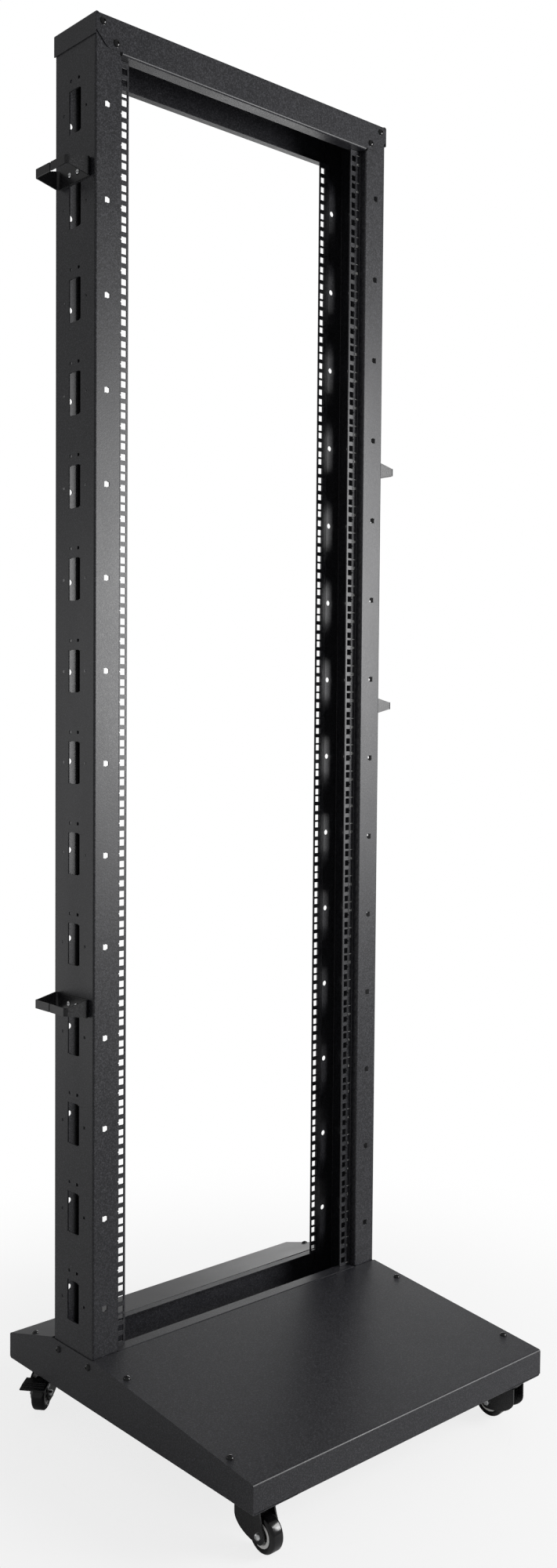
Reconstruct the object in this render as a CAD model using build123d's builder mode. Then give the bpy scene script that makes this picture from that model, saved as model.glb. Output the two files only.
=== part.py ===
from build123d import *
import math
import os

# Two post open frame rack for 19 inch equipment, 42 units high, on a wheeled sheet metal base.
# Millimetres. X runs to the right, Y to the back and Z up. The origin is on the floor, under the
# middle of the whole rack.

# 19 inch rail pattern
unit_count = 42
unit_height = 44.45
unit_hole_heights = (6.35, 22.225, 38.1)
square_hole = 9.5
hole_row_spacing = 465.1
rail_clear_width = 450.0
rail_spacing = 76.0

# Posts
post_overall_width = 584.0
post_sheet = 2.0
post_face_width = 43.0
rail_step = 13.5
slot_pitch_units = 3
slot_first_unit = 1
web_slot_width = 28.0
web_slot_height = 60.0
web_slot_corner = 4.0

# Top beam, and the cross channel between the feet of the posts
beam_sheet = 1.5
beam_height = 48.0
beam_front_lip = 22.0
beam_rear_lip = 14.0
beam_corner_chamfer = 20.0
beam_flap_height = 31.0
rail_end_gap = 0.5
rail_top_margin = 7.6
rail_bottom_margin = 4.0

# Base
base_sheet = 1.5
base_height = 76.0
base_edge_height = 41.0
base_front_reach = 361.0
base_rear_reach = 124.0
base_side_flange = 78.0
base_cover_flange = 20.0
base_apron_return = 16.0
cover_seam = 0.5

# Cable rings
ring_depth = 42.0
ring_width = 83.0
ring_sheet = 2.0
ring_plate_height = 26.0
ring_strap_height = 12.0
ring_split = 6.0
left_ring_slots = (3, 12)
right_ring_slots = (7, 10)

# Casters
caster_height = 69.0
caster_inset = 40.0
caster_trail = 20.0
wheel_diameter = 50.0
wheel_width = 21.0
tyre_depth = 8.0
hub_width = 18.0
axle_diameter = 8.0
axle_head_size = 13.0
axle_head_height = 4.0
fork_gap = 24.0
fork_sheet = 2.5
fork_lead = 28.0
fork_follow = 22.0
fork_skirt_depth = 20.0
fork_heel_reach = 20.0
fork_top_thickness = 3.0
fork_leg_end = 11.0
caster_plate_side = 46.0
caster_plate_sheet = 2.5
race_diameter = 40.0
race_height = 4.2
rivet_diameter = 10.0
rivet_head_diameter = 18.0
rivet_head_height = 2.0
swivel_gap = 0.3
running_gap = 0.08
fit_gap = 0.05
hub_sides = 16
shaft_sides = 10

# Brake pedals of the rear casters
pedal_width = 40.0
pedal_sheet = 2.0
pedal_reach = 30.0
pedal_rise = 9.0
pedal_tip_drop = 2.0
pedal_cheek_gap = 0.4
pedal_pin_diameter = 4.0
pedal_pin_reach = 18.0
pedal_pin_rise = 20.0
pedal_lobe = 6.0

# How the casters stand: the way each wheel trails, in degrees from +X towards +Y
front_left_trail = -90.0
front_right_trail = 96.0
rear_left_trail = -140.0
rear_right_trail = -40.0

# Heights
base_bottom_z = caster_height
ridge_z = base_bottom_z + base_height
edge_z = base_bottom_z + base_edge_height
first_unit_z = ridge_z + rail_bottom_margin
last_unit_z = first_unit_z + unit_count * unit_height
beam_bottom_z = last_unit_z + rail_top_margin
beam_top_z = beam_bottom_z + beam_height
channel_bottom_z = ridge_z - beam_height
post_bottom_z = channel_bottom_z + beam_sheet
post_top_z = beam_top_z - beam_sheet
rail_bottom_z = ridge_z + rail_end_gap
rail_top_z = beam_bottom_z - rail_end_gap

# Depths: first from the front face of the front rails, then moved so that the origin is central
wheel_radius = wheel_diameter / 2
half_width = post_overall_width / 2
base_half_width = half_width + base_sheet
base_front_offset = -rail_step - base_front_reach
base_rear_offset = rail_spacing + rail_step + base_rear_reach
wheel_front_offset = base_front_offset + caster_inset - caster_trail - wheel_radius
front_rail_y = -(min(base_front_offset, wheel_front_offset) + base_rear_offset) / 2
rear_rail_y = front_rail_y + rail_spacing
post_front_y = front_rail_y - rail_step
post_rear_y = rear_rail_y + rail_step
post_middle_y = (post_front_y + post_rear_y) / 2
base_front_y = front_rail_y + base_front_offset
base_rear_y = front_rail_y + base_rear_offset
step_x = half_width - post_face_width
caster_x = base_half_width - caster_inset

# Places of the 19 inch holes and of the cable slots
hole_heights = [
    first_unit_z + unit * unit_height + height for unit in range(unit_count) for height in unit_hole_heights
]
slot_heights = [
    first_unit_z + unit * unit_height + unit_hole_heights[1]
    for unit in range(slot_first_unit, unit_count, slot_pitch_units)
]

os.makedirs("parts", exist_ok=True)


def keep(part, name):
    """Label a finished piece and write it to its own file."""
    part.label = name
    export_step(part, "parts/" + name + ".step")


def side_name(side):
    """Name the side of the rack on which X has this sign."""
    return "left" if side < 0 else "right"


# Posts: a folded channel that is open to the inside, with the steps that carry the rails. The steps
# end where the lips of the beam and of the cross channel begin.
for side in (-1, 1):
    with BuildPart() as post:
        with BuildSketch(Plane.XY.offset(post_bottom_z)):
            with BuildLine():
                Polyline(
                    (side * step_x, front_rail_y + post_sheet),
                    (side * step_x, post_front_y + post_sheet),
                    (side * (half_width - post_sheet), post_front_y + post_sheet),
                    (side * (half_width - post_sheet), post_rear_y - post_sheet),
                    (side * step_x, post_rear_y - post_sheet),
                    (side * step_x, rear_rail_y - post_sheet),
                    (side * (step_x - post_sheet), rear_rail_y - post_sheet),
                    (side * (step_x - post_sheet), post_rear_y),
                    (side * half_width, post_rear_y),
                    (side * half_width, post_front_y),
                    (side * (step_x - post_sheet), post_front_y),
                    (side * (step_x - post_sheet), front_rail_y + post_sheet),
                    close=True,
                )
            make_face()
        extrude(amount=post_top_z - post_bottom_z)
        for low_z, high_z in ((post_bottom_z, rail_bottom_z), (rail_top_z, post_top_z)):
            with BuildSketch(Plane.XY.offset(low_z)):
                with Locations((side * (step_x - post_sheet), post_middle_y)):
                    Rectangle(2 * post_sheet, post_rear_y - post_front_y)
            extrude(amount=high_z - low_z, mode=Mode.SUBTRACT)
        with BuildSketch(Plane.YZ.offset(side * half_width)):
            with Locations(*[(post_middle_y, height) for height in slot_heights]):
                Rectangle(web_slot_width, web_slot_height)
            chamfer(vertices(), web_slot_corner)
        extrude(amount=-side * post_sheet, mode=Mode.SUBTRACT)
    keep(post.part, "post_" + side_name(side))

# Rails: flat strips with a row of square holes, one in front and one behind on each post
for side in (-1, 1):
    for place, outer_y, inward in (("front", front_rail_y, 1), ("rear", rear_rail_y, -1)):
        with BuildPart() as rail:
            with BuildSketch(Plane.XZ.offset(-outer_y)):
                with BuildLine():
                    Polyline(
                        (side * rail_clear_width / 2, rail_bottom_z),
                        (side * (step_x - post_sheet), rail_bottom_z),
                        (side * (step_x - post_sheet), rail_top_z),
                        (side * rail_clear_width / 2, rail_top_z),
                        close=True,
                    )
                make_face()
                with Locations(*[(side * hole_row_spacing / 2, height) for height in hole_heights]):
                    Rectangle(square_hole, square_hole, mode=Mode.SUBTRACT)
            extrude(amount=-inward * post_sheet)
        keep(rail.part, "rail_" + place + "_" + side_name(side))


def channel_corners(web_z, open_z):
    """List the corners of the cross-section of a channel with inward lips, in the YZ plane."""
    inner = beam_sheet if open_z > web_z else -beam_sheet
    front_y = post_front_y - beam_sheet
    rear_y = post_rear_y + beam_sheet
    return [
        (front_y + beam_front_lip, open_z),
        (front_y, open_z),
        (front_y, web_z),
        (rear_y, web_z),
        (rear_y, open_z),
        (rear_y - beam_rear_lip, open_z),
        (rear_y - beam_rear_lip, open_z - inner),
        (post_rear_y, open_z - inner),
        (post_rear_y, web_z + inner),
        (post_front_y, web_z + inner),
        (post_front_y, open_z - inner),
        (front_y + beam_front_lip, open_z - inner),
    ]


# Top beam: an inverted channel over the heads of both posts, closed by a flap at each end. Its lips
# are cut away where the posts stand in it.
post_width_in_channel = half_width - step_x + post_sheet
with BuildPart() as top_beam:
    with BuildSketch(Plane.YZ.offset(-half_width)):
        with BuildLine():
            Polyline(*channel_corners(beam_top_z, beam_bottom_z), close=True)
        make_face()
    extrude(amount=post_overall_width)
    for side in (-1, 1):
        with BuildSketch(Plane.XY.offset(beam_bottom_z)):
            with Locations((side * (half_width - post_width_in_channel / 2), post_middle_y)):
                Rectangle(post_width_in_channel, post_rear_y - post_front_y)
        extrude(amount=beam_sheet, mode=Mode.SUBTRACT)
        with BuildSketch(Plane.XZ.offset(-post_rear_y - beam_sheet)):
            with BuildLine():
                Polyline(
                    (side * half_width, beam_bottom_z),
                    (side * half_width, beam_bottom_z + beam_corner_chamfer),
                    (side * (half_width - beam_corner_chamfer), beam_bottom_z),
                    close=True,
                )
            make_face()
        extrude(amount=post_rear_y - post_front_y + 2 * beam_sheet, mode=Mode.SUBTRACT)
        with BuildSketch(Plane.YZ.offset(side * half_width)):
            with Locations((post_middle_y, beam_top_z - beam_flap_height / 2)):
                Rectangle(post_rear_y - post_front_y + 2 * beam_sheet, beam_flap_height)
        extrude(amount=side * beam_sheet)
keep(top_beam.part, "top_beam")

# Cross channel: the same section, open upwards, between the feet of the posts
with BuildPart() as cross_channel:
    with BuildSketch(Plane.YZ.offset(-half_width)):
        with BuildLine():
            Polyline(*channel_corners(channel_bottom_z, ridge_z), close=True)
        make_face()
    extrude(amount=post_overall_width)
    for side in (-1, 1):
        with BuildSketch(Plane.XY.offset(ridge_z - beam_sheet)):
            with Locations((side * (half_width - post_width_in_channel / 2), post_middle_y)):
                Rectangle(post_width_in_channel, post_rear_y - post_front_y)
        extrude(amount=beam_sheet, mode=Mode.SUBTRACT)
keep(cross_channel.part, "base_cross_channel")

# Slopes of the covers, as the height of their top face at a given depth
front_ridge_y = post_front_y - beam_sheet - cover_seam
rear_ridge_y = post_rear_y + beam_sheet + cover_seam
front_slope = (ridge_z - edge_z) / (front_ridge_y - base_front_y)
rear_slope = (ridge_z - edge_z) / (base_rear_y - rear_ridge_y)
front_cover_drop = base_sheet * math.sqrt(1 + front_slope**2)
rear_cover_drop = base_sheet * math.sqrt(1 + rear_slope**2)


def under_front_cover(y):
    """Give the height of the underside of the front cover at a depth."""
    return edge_z + front_slope * (y - base_front_y) - front_cover_drop


def under_rear_cover(y):
    """Give the height of the underside of the rear cover at a depth."""
    return edge_z + rear_slope * (base_rear_y - y) - rear_cover_drop


# Base sides: hip shaped walls outside the feet of the posts, with a flange under the covers and a
# wide flange below that carries the casters
wall_front_y = base_front_y + base_sheet
wall_rear_y = base_rear_y - base_sheet
for side in (-1, 1):
    with BuildPart() as base_side:
        with BuildSketch(Plane.YZ.offset(side * half_width)):
            with BuildLine():
                Polyline(
                    (wall_front_y, base_bottom_z),
                    (wall_front_y, under_front_cover(wall_front_y)),
                    (front_ridge_y, under_front_cover(front_ridge_y)),
                    (front_ridge_y, ridge_z),
                    (rear_ridge_y, ridge_z),
                    (rear_ridge_y, under_rear_cover(rear_ridge_y)),
                    (wall_rear_y, under_rear_cover(wall_rear_y)),
                    (wall_rear_y, base_bottom_z),
                    close=True,
                )
            make_face()
        extrude(amount=side * base_sheet)
        with BuildSketch(Plane.YZ.offset(side * half_width)):
            with BuildLine():
                Polyline(
                    (wall_front_y, under_front_cover(wall_front_y)),
                    (front_ridge_y, under_front_cover(front_ridge_y)),
                    (front_ridge_y, under_front_cover(front_ridge_y) - base_sheet),
                    (wall_front_y, under_front_cover(wall_front_y) - base_sheet),
                    close=True,
                )
            make_face()
            with BuildLine():
                Polyline(
                    (rear_ridge_y, under_rear_cover(rear_ridge_y)),
                    (wall_rear_y, under_rear_cover(wall_rear_y)),
                    (wall_rear_y, under_rear_cover(wall_rear_y) - base_sheet),
                    (rear_ridge_y, under_rear_cover(rear_ridge_y) - base_sheet),
                    close=True,
                )
            make_face()
        extrude(amount=-side * base_cover_flange)
        with BuildSketch(Plane.XY.offset(base_bottom_z)):
            with Locations((side * (base_half_width - base_side_flange / 2), (wall_front_y + wall_rear_y) / 2)):
                Rectangle(base_side_flange, wall_rear_y - wall_front_y)
        extrude(amount=base_sheet)
    keep(base_side.part, "base_side_" + side_name(side))

# Front cover: the large sloping plate, folded down in front and back under at the bottom
with BuildPart() as front_cover:
    with BuildSketch(Plane.YZ.offset(-base_half_width)):
        with BuildLine():
            Polyline(
                (front_ridge_y, ridge_z),
                (base_front_y, edge_z),
                (base_front_y, base_bottom_z),
                (base_front_y + base_apron_return, base_bottom_z),
                (base_front_y + base_apron_return, base_bottom_z + base_sheet),
                (wall_front_y, base_bottom_z + base_sheet),
                (wall_front_y, under_front_cover(wall_front_y)),
                (front_ridge_y, under_front_cover(front_ridge_y)),
                close=True,
            )
        make_face()
    extrude(amount=2 * base_half_width)
    for side in (-1, 1):
        with BuildSketch(Plane.XY.offset(base_bottom_z)):
            with Locations((side * (base_half_width - base_side_flange / 2), wall_front_y + base_apron_return / 2)):
                Rectangle(base_side_flange, base_apron_return)
        extrude(amount=base_sheet, mode=Mode.SUBTRACT)
keep(front_cover.part, "base_front_cover")

# Rear cover: the short, steeper plate behind the posts, folded the same way
with BuildPart() as rear_cover:
    with BuildSketch(Plane.YZ.offset(-base_half_width)):
        with BuildLine():
            Polyline(
                (rear_ridge_y, ridge_z),
                (base_rear_y, edge_z),
                (base_rear_y, base_bottom_z),
                (base_rear_y - base_apron_return, base_bottom_z),
                (base_rear_y - base_apron_return, base_bottom_z + base_sheet),
                (wall_rear_y, base_bottom_z + base_sheet),
                (wall_rear_y, under_rear_cover(wall_rear_y)),
                (rear_ridge_y, under_rear_cover(rear_ridge_y)),
                close=True,
            )
        make_face()
    extrude(amount=2 * base_half_width)
    for side in (-1, 1):
        with BuildSketch(Plane.XY.offset(base_bottom_z)):
            with Locations((side * (base_half_width - base_side_flange / 2), wall_rear_y - base_apron_return / 2)):
                Rectangle(base_side_flange, base_apron_return)
        extrude(amount=base_sheet, mode=Mode.SUBTRACT)
keep(rear_cover.part, "base_rear_cover")


def build_ring(side, centre_z, name):
    """Bend a cable ring from flat strap: a tall plate on the post, tapering sides and a split bar."""
    wall_x = side * half_width
    outer_x = side * (half_width + ring_depth)
    half_strap = ring_strap_height / 2
    half_plate = ring_plate_height / 2
    with BuildPart() as ring:
        with BuildSketch(Plane.XY.offset(centre_z - half_plate)):
            with Locations(((wall_x + outer_x) / 2, post_middle_y)):
                Rectangle(ring_depth, ring_width)
                Rectangle(ring_depth - 2 * ring_sheet, ring_width - 2 * ring_sheet, mode=Mode.SUBTRACT)
        extrude(amount=ring_plate_height)
        for up in (-1, 1):
            with BuildSketch(Plane.XZ.offset(-post_middle_y - ring_width / 2)):
                with BuildLine():
                    Polyline(
                        (wall_x + side * ring_sheet, centre_z + up * half_plate),
                        (outer_x, centre_z + up * half_plate),
                        (outer_x, centre_z + up * half_strap),
                        (outer_x - side * ring_sheet, centre_z + up * half_strap),
                        close=True,
                    )
                make_face()
            extrude(amount=ring_width, mode=Mode.SUBTRACT)
        with Locations((outer_x, post_middle_y, centre_z)):
            Box(4 * ring_sheet, ring_split, ring_plate_height, mode=Mode.SUBTRACT)
    keep(ring.part, name)


# Cable rings: two on each post, one unit above their slot on the left and one below on the right,
# because the right post is the same part turned over
for side, ring_slots in ((-1, left_ring_slots), (1, right_ring_slots)):
    for level, slot_index in zip(("lower", "upper"), ring_slots):
        build_ring(
            side, slot_heights[slot_index] - side * unit_height, "cable_ring_" + side_name(side) + "_" + level
        )

# Heights in a caster, from its plate down to its axle. The round pieces that the fork hides have
# few sides, and each bore's flats clear the corners of its shaft.
plate_under_z = caster_height - caster_plate_sheet
race_under_z = plate_under_z - race_height
fork_top_z = race_under_z - swivel_gap
fork_under_z = fork_top_z - fork_top_thickness
leg_inner = fork_gap / 2
leg_outer = leg_inner + fork_sheet
hub_radius = wheel_radius - tyre_depth
axle_seat = axle_diameter / 2 + fit_gap
axle_bore = axle_diameter / 2 + running_gap
pedal_pin_bore = pedal_pin_diameter / 2 + running_gap
pedal_pin_t = caster_trail + pedal_pin_reach
pedal_pin_z = wheel_radius + pedal_pin_rise
cheek_inner = leg_outer + pedal_cheek_gap


def caster_frame(x, y, trail_angle):
    """Place a caster: X of this frame points the way the wheel trails, and Z stays up from the floor."""
    return Plane(origin=(x, y, 0), x_dir=Vector(1, 0, 0).rotate(Axis.Z, trail_angle), z_dir=(0, 0, 1))


def upright_plane(frame, offset):
    """Give the upright plane along a caster's trail, moved sideways by an offset."""
    side_dir = frame.z_dir.cross(frame.x_dir)
    return Plane(origin=frame.origin + side_dir * offset, x_dir=frame.x_dir, z_dir=-side_dir)


def build_caster(name, x, y, trail_angle, braked):
    """Build one swivel caster: plate with race and rivet, fork, axle, hub, tyre and brake pedal."""
    frame = caster_frame(x, y, trail_angle)
    axle = Plane(origin=frame.from_local_coords((caster_trail, 0, wheel_radius)), z_dir=upright_plane(frame, 0).z_dir)

    with BuildPart() as plate:
        with BuildSketch(Plane.XY.offset(plate_under_z)):
            with Locations((x, y)):
                Rectangle(caster_plate_side, caster_plate_side)
        extrude(amount=caster_plate_sheet)
        with BuildSketch(Plane.XY.offset(race_under_z)):
            with Locations((x, y)):
                RegularPolygon(race_diameter / 2, hub_sides)
        extrude(amount=race_height)
        with BuildSketch(Plane.XY.offset(fork_under_z - swivel_gap)):
            with Locations((x, y)):
                RegularPolygon(rivet_diameter / 2, shaft_sides)
        extrude(amount=race_under_z - fork_under_z + swivel_gap)
        with BuildSketch(Plane.XY.offset(fork_under_z - swivel_gap - rivet_head_height)):
            with Locations((x, y)):
                RegularPolygon(rivet_head_diameter / 2, shaft_sides)
        extrude(amount=rivet_head_height)
    keep(plate.part, "caster_plate_" + name)

    with BuildPart() as fork:
        with BuildSketch(Plane(origin=frame.from_local_coords((0, 0, fork_under_z)), x_dir=frame.x_dir)):
            with Locations(((fork_follow - fork_lead) / 2, 0)):
                Rectangle(fork_lead + fork_follow, 2 * leg_outer)
            RegularPolygon(rivet_diameter / 2 + running_gap, shaft_sides, major_radius=False, mode=Mode.SUBTRACT)
        extrude(amount=fork_top_thickness)
        for offset in (leg_outer, -leg_inner):
            with BuildSketch(upright_plane(frame, offset)):
                with BuildLine():
                    Polyline(
                        (-fork_lead, fork_under_z),
                        (-fork_lead, fork_under_z - fork_skirt_depth),
                        (-fork_heel_reach, wheel_radius),
                        (caster_trail - fork_leg_end / 2, wheel_radius - fork_leg_end),
                        (caster_trail + fork_leg_end / 2, wheel_radius - fork_leg_end),
                        (caster_trail + fork_leg_end, wheel_radius - fork_leg_end / 2),
                        (caster_trail + fork_leg_end, wheel_radius + fork_leg_end),
                        (fork_follow, fork_under_z - fork_top_thickness),
                        (fork_follow, fork_under_z),
                        close=True,
                    )
                make_face()
                if braked:
                    with BuildLine():
                        Polyline(
                            (fork_follow, fork_under_z),
                            (pedal_pin_t, pedal_pin_z + pedal_lobe),
                            (pedal_pin_t + pedal_lobe, pedal_pin_z),
                            (pedal_pin_t, pedal_pin_z - pedal_lobe),
                            (caster_trail + fork_leg_end, wheel_radius + fork_leg_end),
                            (fork_follow, fork_under_z - fork_top_thickness),
                            close=True,
                        )
                    make_face()
                    with Locations((pedal_pin_t, pedal_pin_z)):
                        RegularPolygon(pedal_pin_bore, shaft_sides, major_radius=False, mode=Mode.SUBTRACT)
                with Locations((caster_trail, wheel_radius)):
                    RegularPolygon(axle_seat, shaft_sides, major_radius=False, mode=Mode.SUBTRACT)
            extrude(amount=fork_sheet)
    keep(fork.part, "caster_fork_" + name)

    with BuildPart() as axle_bolt:
        with BuildSketch(axle.offset(-leg_outer)):
            RegularPolygon(axle_diameter / 2, shaft_sides)
        extrude(amount=2 * leg_outer)
        for offset in (-leg_outer - axle_head_height, leg_outer):
            with BuildSketch(axle.offset(offset)):
                RegularPolygon(axle_head_size / 2, 6, major_radius=False)
            extrude(amount=axle_head_height)
    keep(axle_bolt.part, "caster_axle_" + name)

    with BuildPart() as hub:
        with BuildSketch(axle.offset(-hub_width / 2)):
            RegularPolygon(hub_radius - fit_gap, hub_sides)
            RegularPolygon(axle_bore, shaft_sides, major_radius=False, mode=Mode.SUBTRACT)
        extrude(amount=hub_width)
    keep(hub.part, "caster_hub_" + name)

    with BuildPart() as tyre:
        with BuildSketch(axle.offset(-wheel_width / 2)):
            Circle(wheel_radius)
            RegularPolygon(hub_radius, hub_sides, mode=Mode.SUBTRACT)
        extrude(amount=wheel_width)
    keep(tyre.part, "caster_tyre_" + name)

    if braked:
        tread_z = pedal_pin_z + pedal_rise
        with BuildPart() as pedal:
            with BuildSketch(upright_plane(frame, pedal_width / 2)):
                with BuildLine():
                    Polyline(
                        (pedal_pin_t, tread_z),
                        (pedal_pin_t + pedal_reach / 2, tread_z),
                        (pedal_pin_t + pedal_reach, tread_z - pedal_tip_drop),
                        (pedal_pin_t + pedal_reach, tread_z - pedal_tip_drop - pedal_sheet),
                        (pedal_pin_t + pedal_reach / 2, tread_z - pedal_sheet),
                        (pedal_pin_t, tread_z - pedal_sheet),
                        close=True,
                    )
                make_face()
            extrude(amount=pedal_width)
            for offset in (cheek_inner + pedal_sheet, -cheek_inner):
                with BuildSketch(upright_plane(frame, offset)):
                    with BuildLine():
                        Polyline(
                            (pedal_pin_t - pedal_lobe, tread_z - pedal_sheet),
                            (pedal_pin_t - pedal_lobe, pedal_pin_z - pedal_lobe / 2),
                            (pedal_pin_t - pedal_lobe / 2, pedal_pin_z - pedal_lobe),
                            (pedal_pin_t + pedal_lobe / 2, pedal_pin_z - pedal_lobe),
                            (pedal_pin_t + pedal_reach / 2, tread_z - pedal_sheet),
                            (pedal_pin_t + pedal_reach / 2, tread_z),
                            (pedal_pin_t - pedal_lobe, tread_z),
                            close=True,
                        )
                    make_face()
                extrude(amount=pedal_sheet)
            for offset in (cheek_inner, -leg_inner):
                with BuildSketch(upright_plane(frame, offset)):
                    with Locations((pedal_pin_t, pedal_pin_z)):
                        RegularPolygon(pedal_pin_diameter / 2, shaft_sides)
                extrude(amount=cheek_inner - leg_inner)
        keep(pedal.part, "brake_pedal_" + name)


# Casters: one near each corner of the base, the rear pair with brakes
build_caster("front_left", -caster_x, base_front_y + caster_inset, front_left_trail, False)
build_caster("front_right", caster_x, base_front_y + caster_inset, front_right_trail, False)
build_caster("rear_left", -caster_x, base_rear_y - caster_inset, rear_left_trail, True)
build_caster("rear_right", caster_x, base_rear_y - caster_inset, rear_right_trail, True)
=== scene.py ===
"""Visual model of an open frame equipment rack on casters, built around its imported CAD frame.

Sizes in the dataclasses are millimetres in the frame's own axes: X to the right, Y to the back and
Z up from the floor. The meshes are scaled to metres when they are made.
"""

import logging
import math
from dataclasses import dataclass, field
from enum import Enum
from typing import Callable, Sequence

import bpy
import numpy as np
from mathutils import Matrix, Vector


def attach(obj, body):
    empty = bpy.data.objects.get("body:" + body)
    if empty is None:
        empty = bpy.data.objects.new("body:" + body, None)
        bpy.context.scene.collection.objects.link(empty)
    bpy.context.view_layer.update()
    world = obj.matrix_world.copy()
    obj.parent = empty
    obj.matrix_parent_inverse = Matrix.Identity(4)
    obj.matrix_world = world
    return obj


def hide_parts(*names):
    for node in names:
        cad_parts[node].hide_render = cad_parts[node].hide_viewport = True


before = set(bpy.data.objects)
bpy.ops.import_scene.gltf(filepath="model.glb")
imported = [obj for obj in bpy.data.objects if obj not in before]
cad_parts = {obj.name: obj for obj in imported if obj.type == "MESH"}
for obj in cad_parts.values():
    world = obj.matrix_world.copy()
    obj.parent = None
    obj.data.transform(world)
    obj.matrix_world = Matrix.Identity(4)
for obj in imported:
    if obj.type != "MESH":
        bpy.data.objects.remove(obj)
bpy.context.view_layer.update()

log = logging.getLogger("rack")

MM = 0.001
NEAR = 1e-6
TINY = 1e-9
ROOT_BODY = "rack_frame"

Array = np.ndarray
Shape = Callable[[Array, Array], tuple[Array, Array]]


class Side(Enum):
    """The two sides of the rack; the value is the sign of X there."""

    LEFT = -1
    RIGHT = 1

    @property
    def word(self) -> str:
        """Returns the side's name as the CAD nodes spell it."""
        return self.name.lower()


@dataclass(frozen=True)
class RackSize:
    """Shared sizes of the rack, in millimetres.

    Args:
        unit: height of a rack unit.
        units: number of rack units.
        first_unit: height of the bottom of the lowest unit.
        unit_holes: heights of the square holes in a unit.
        front: depth of the front rails' front face.
        rear: depth of the rear rails' rear face.
        face_front: depth of the posts' front face.
        face_rear: depth of the posts' rear face.
        half_width: half of the width across the posts.
        ridge: height of the top of the base.
        edge: height of the outer folds of the base's covers.
        base_bottom: height of the base's underside.
        base_front: depth of the front apron's outer face.
        base_rear: depth of the rear apron's outer face.
        front_ridge: depth where the front cover meets the ridge.
        rear_ridge: depth where the rear cover meets the ridge.
        beam_bottom: height of the top beam's lower edge.
        beam_top: height of the top beam's top face.
    """

    unit: float = 44.45
    units: int = 42
    first_unit: float = 149.0
    unit_holes: tuple[float, float, float] = (6.35, 22.225, 38.1)
    front: float = 83.0
    rear: float = 159.0
    face_front: float = 69.5
    face_rear: float = 172.5
    half_width: float = 292.0
    ridge: float = 145.0
    edge: float = 110.0
    base_bottom: float = 69.0
    base_front: float = -291.5
    base_rear: float = 296.5
    front_ridge: float = 67.5
    rear_ridge: float = 174.5
    beam_bottom: float = 2023.5
    beam_top: float = 2071.5

    @property
    def middle(self) -> float:
        """Returns the depth of the posts' middle."""
        return (self.face_front + self.face_rear) / 2

    def hole_heights(self) -> Array:
        """Returns the heights of the square holes: three in each unit, counted from the bottom."""
        units = self.first_unit + self.unit * np.arange(self.units)
        return (units[:, None] + np.array(self.unit_holes)).ravel()

    def slot_heights(self) -> Array:
        """Returns the heights of the cable slots: the middle of every third unit."""
        return self.first_unit + self.unit * np.arange(1, self.units, 3) + self.unit / 2

    def ring_height(self, side: Side, slot: int) -> float:
        """Returns the height of a slot's ring: a unit higher on the left, lower on the right."""
        return float(self.slot_heights()[slot] - side.value * self.unit)


RACK = RackSize()
RING_SLOTS = {Side.LEFT: (3, 12), Side.RIGHT: (7, 10)}


# Meshes


def normalized(vectors: Array) -> Array:
    """Returns vectors, one in each row, scaled to length 1."""
    return vectors / np.maximum(np.linalg.norm(vectors, axis=-1, keepdims=True), TINY)


def paired(first: Array | float, second: Array | float) -> Array:
    """Returns two columns as rows of two; either may be a single number."""
    return np.stack(np.broadcast_arrays(first, second), 1)


def weld(points: Array) -> tuple[Array, Array]:
    """Finds points that coincide.

    Args:
        points: one point in each row.

    Returns:
        The index of the first point at each place, and the index of every point's place.
    """
    rounded = np.round(points, 4)
    _, first, places = np.unique(rounded, axis=0, return_index=True, return_inverse=True)
    return first, places.ravel()


def open_edges(faces: Sequence[Array], count: int) -> Array:
    """Finds the edges that only one face has.

    Args:
        faces: arrays of faces.
        count: number of points that the faces share.

    Returns:
        The edges' first points and their last points, each in the order of its face.
    """
    pairs = [np.stack([face, np.roll(face, -1, axis=1)], -1).reshape(-1, 2) for face in faces]
    edges = np.concatenate(pairs)
    return edges[~np.isin(edges @ [count, 1], edges @ [1, count])].T


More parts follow.
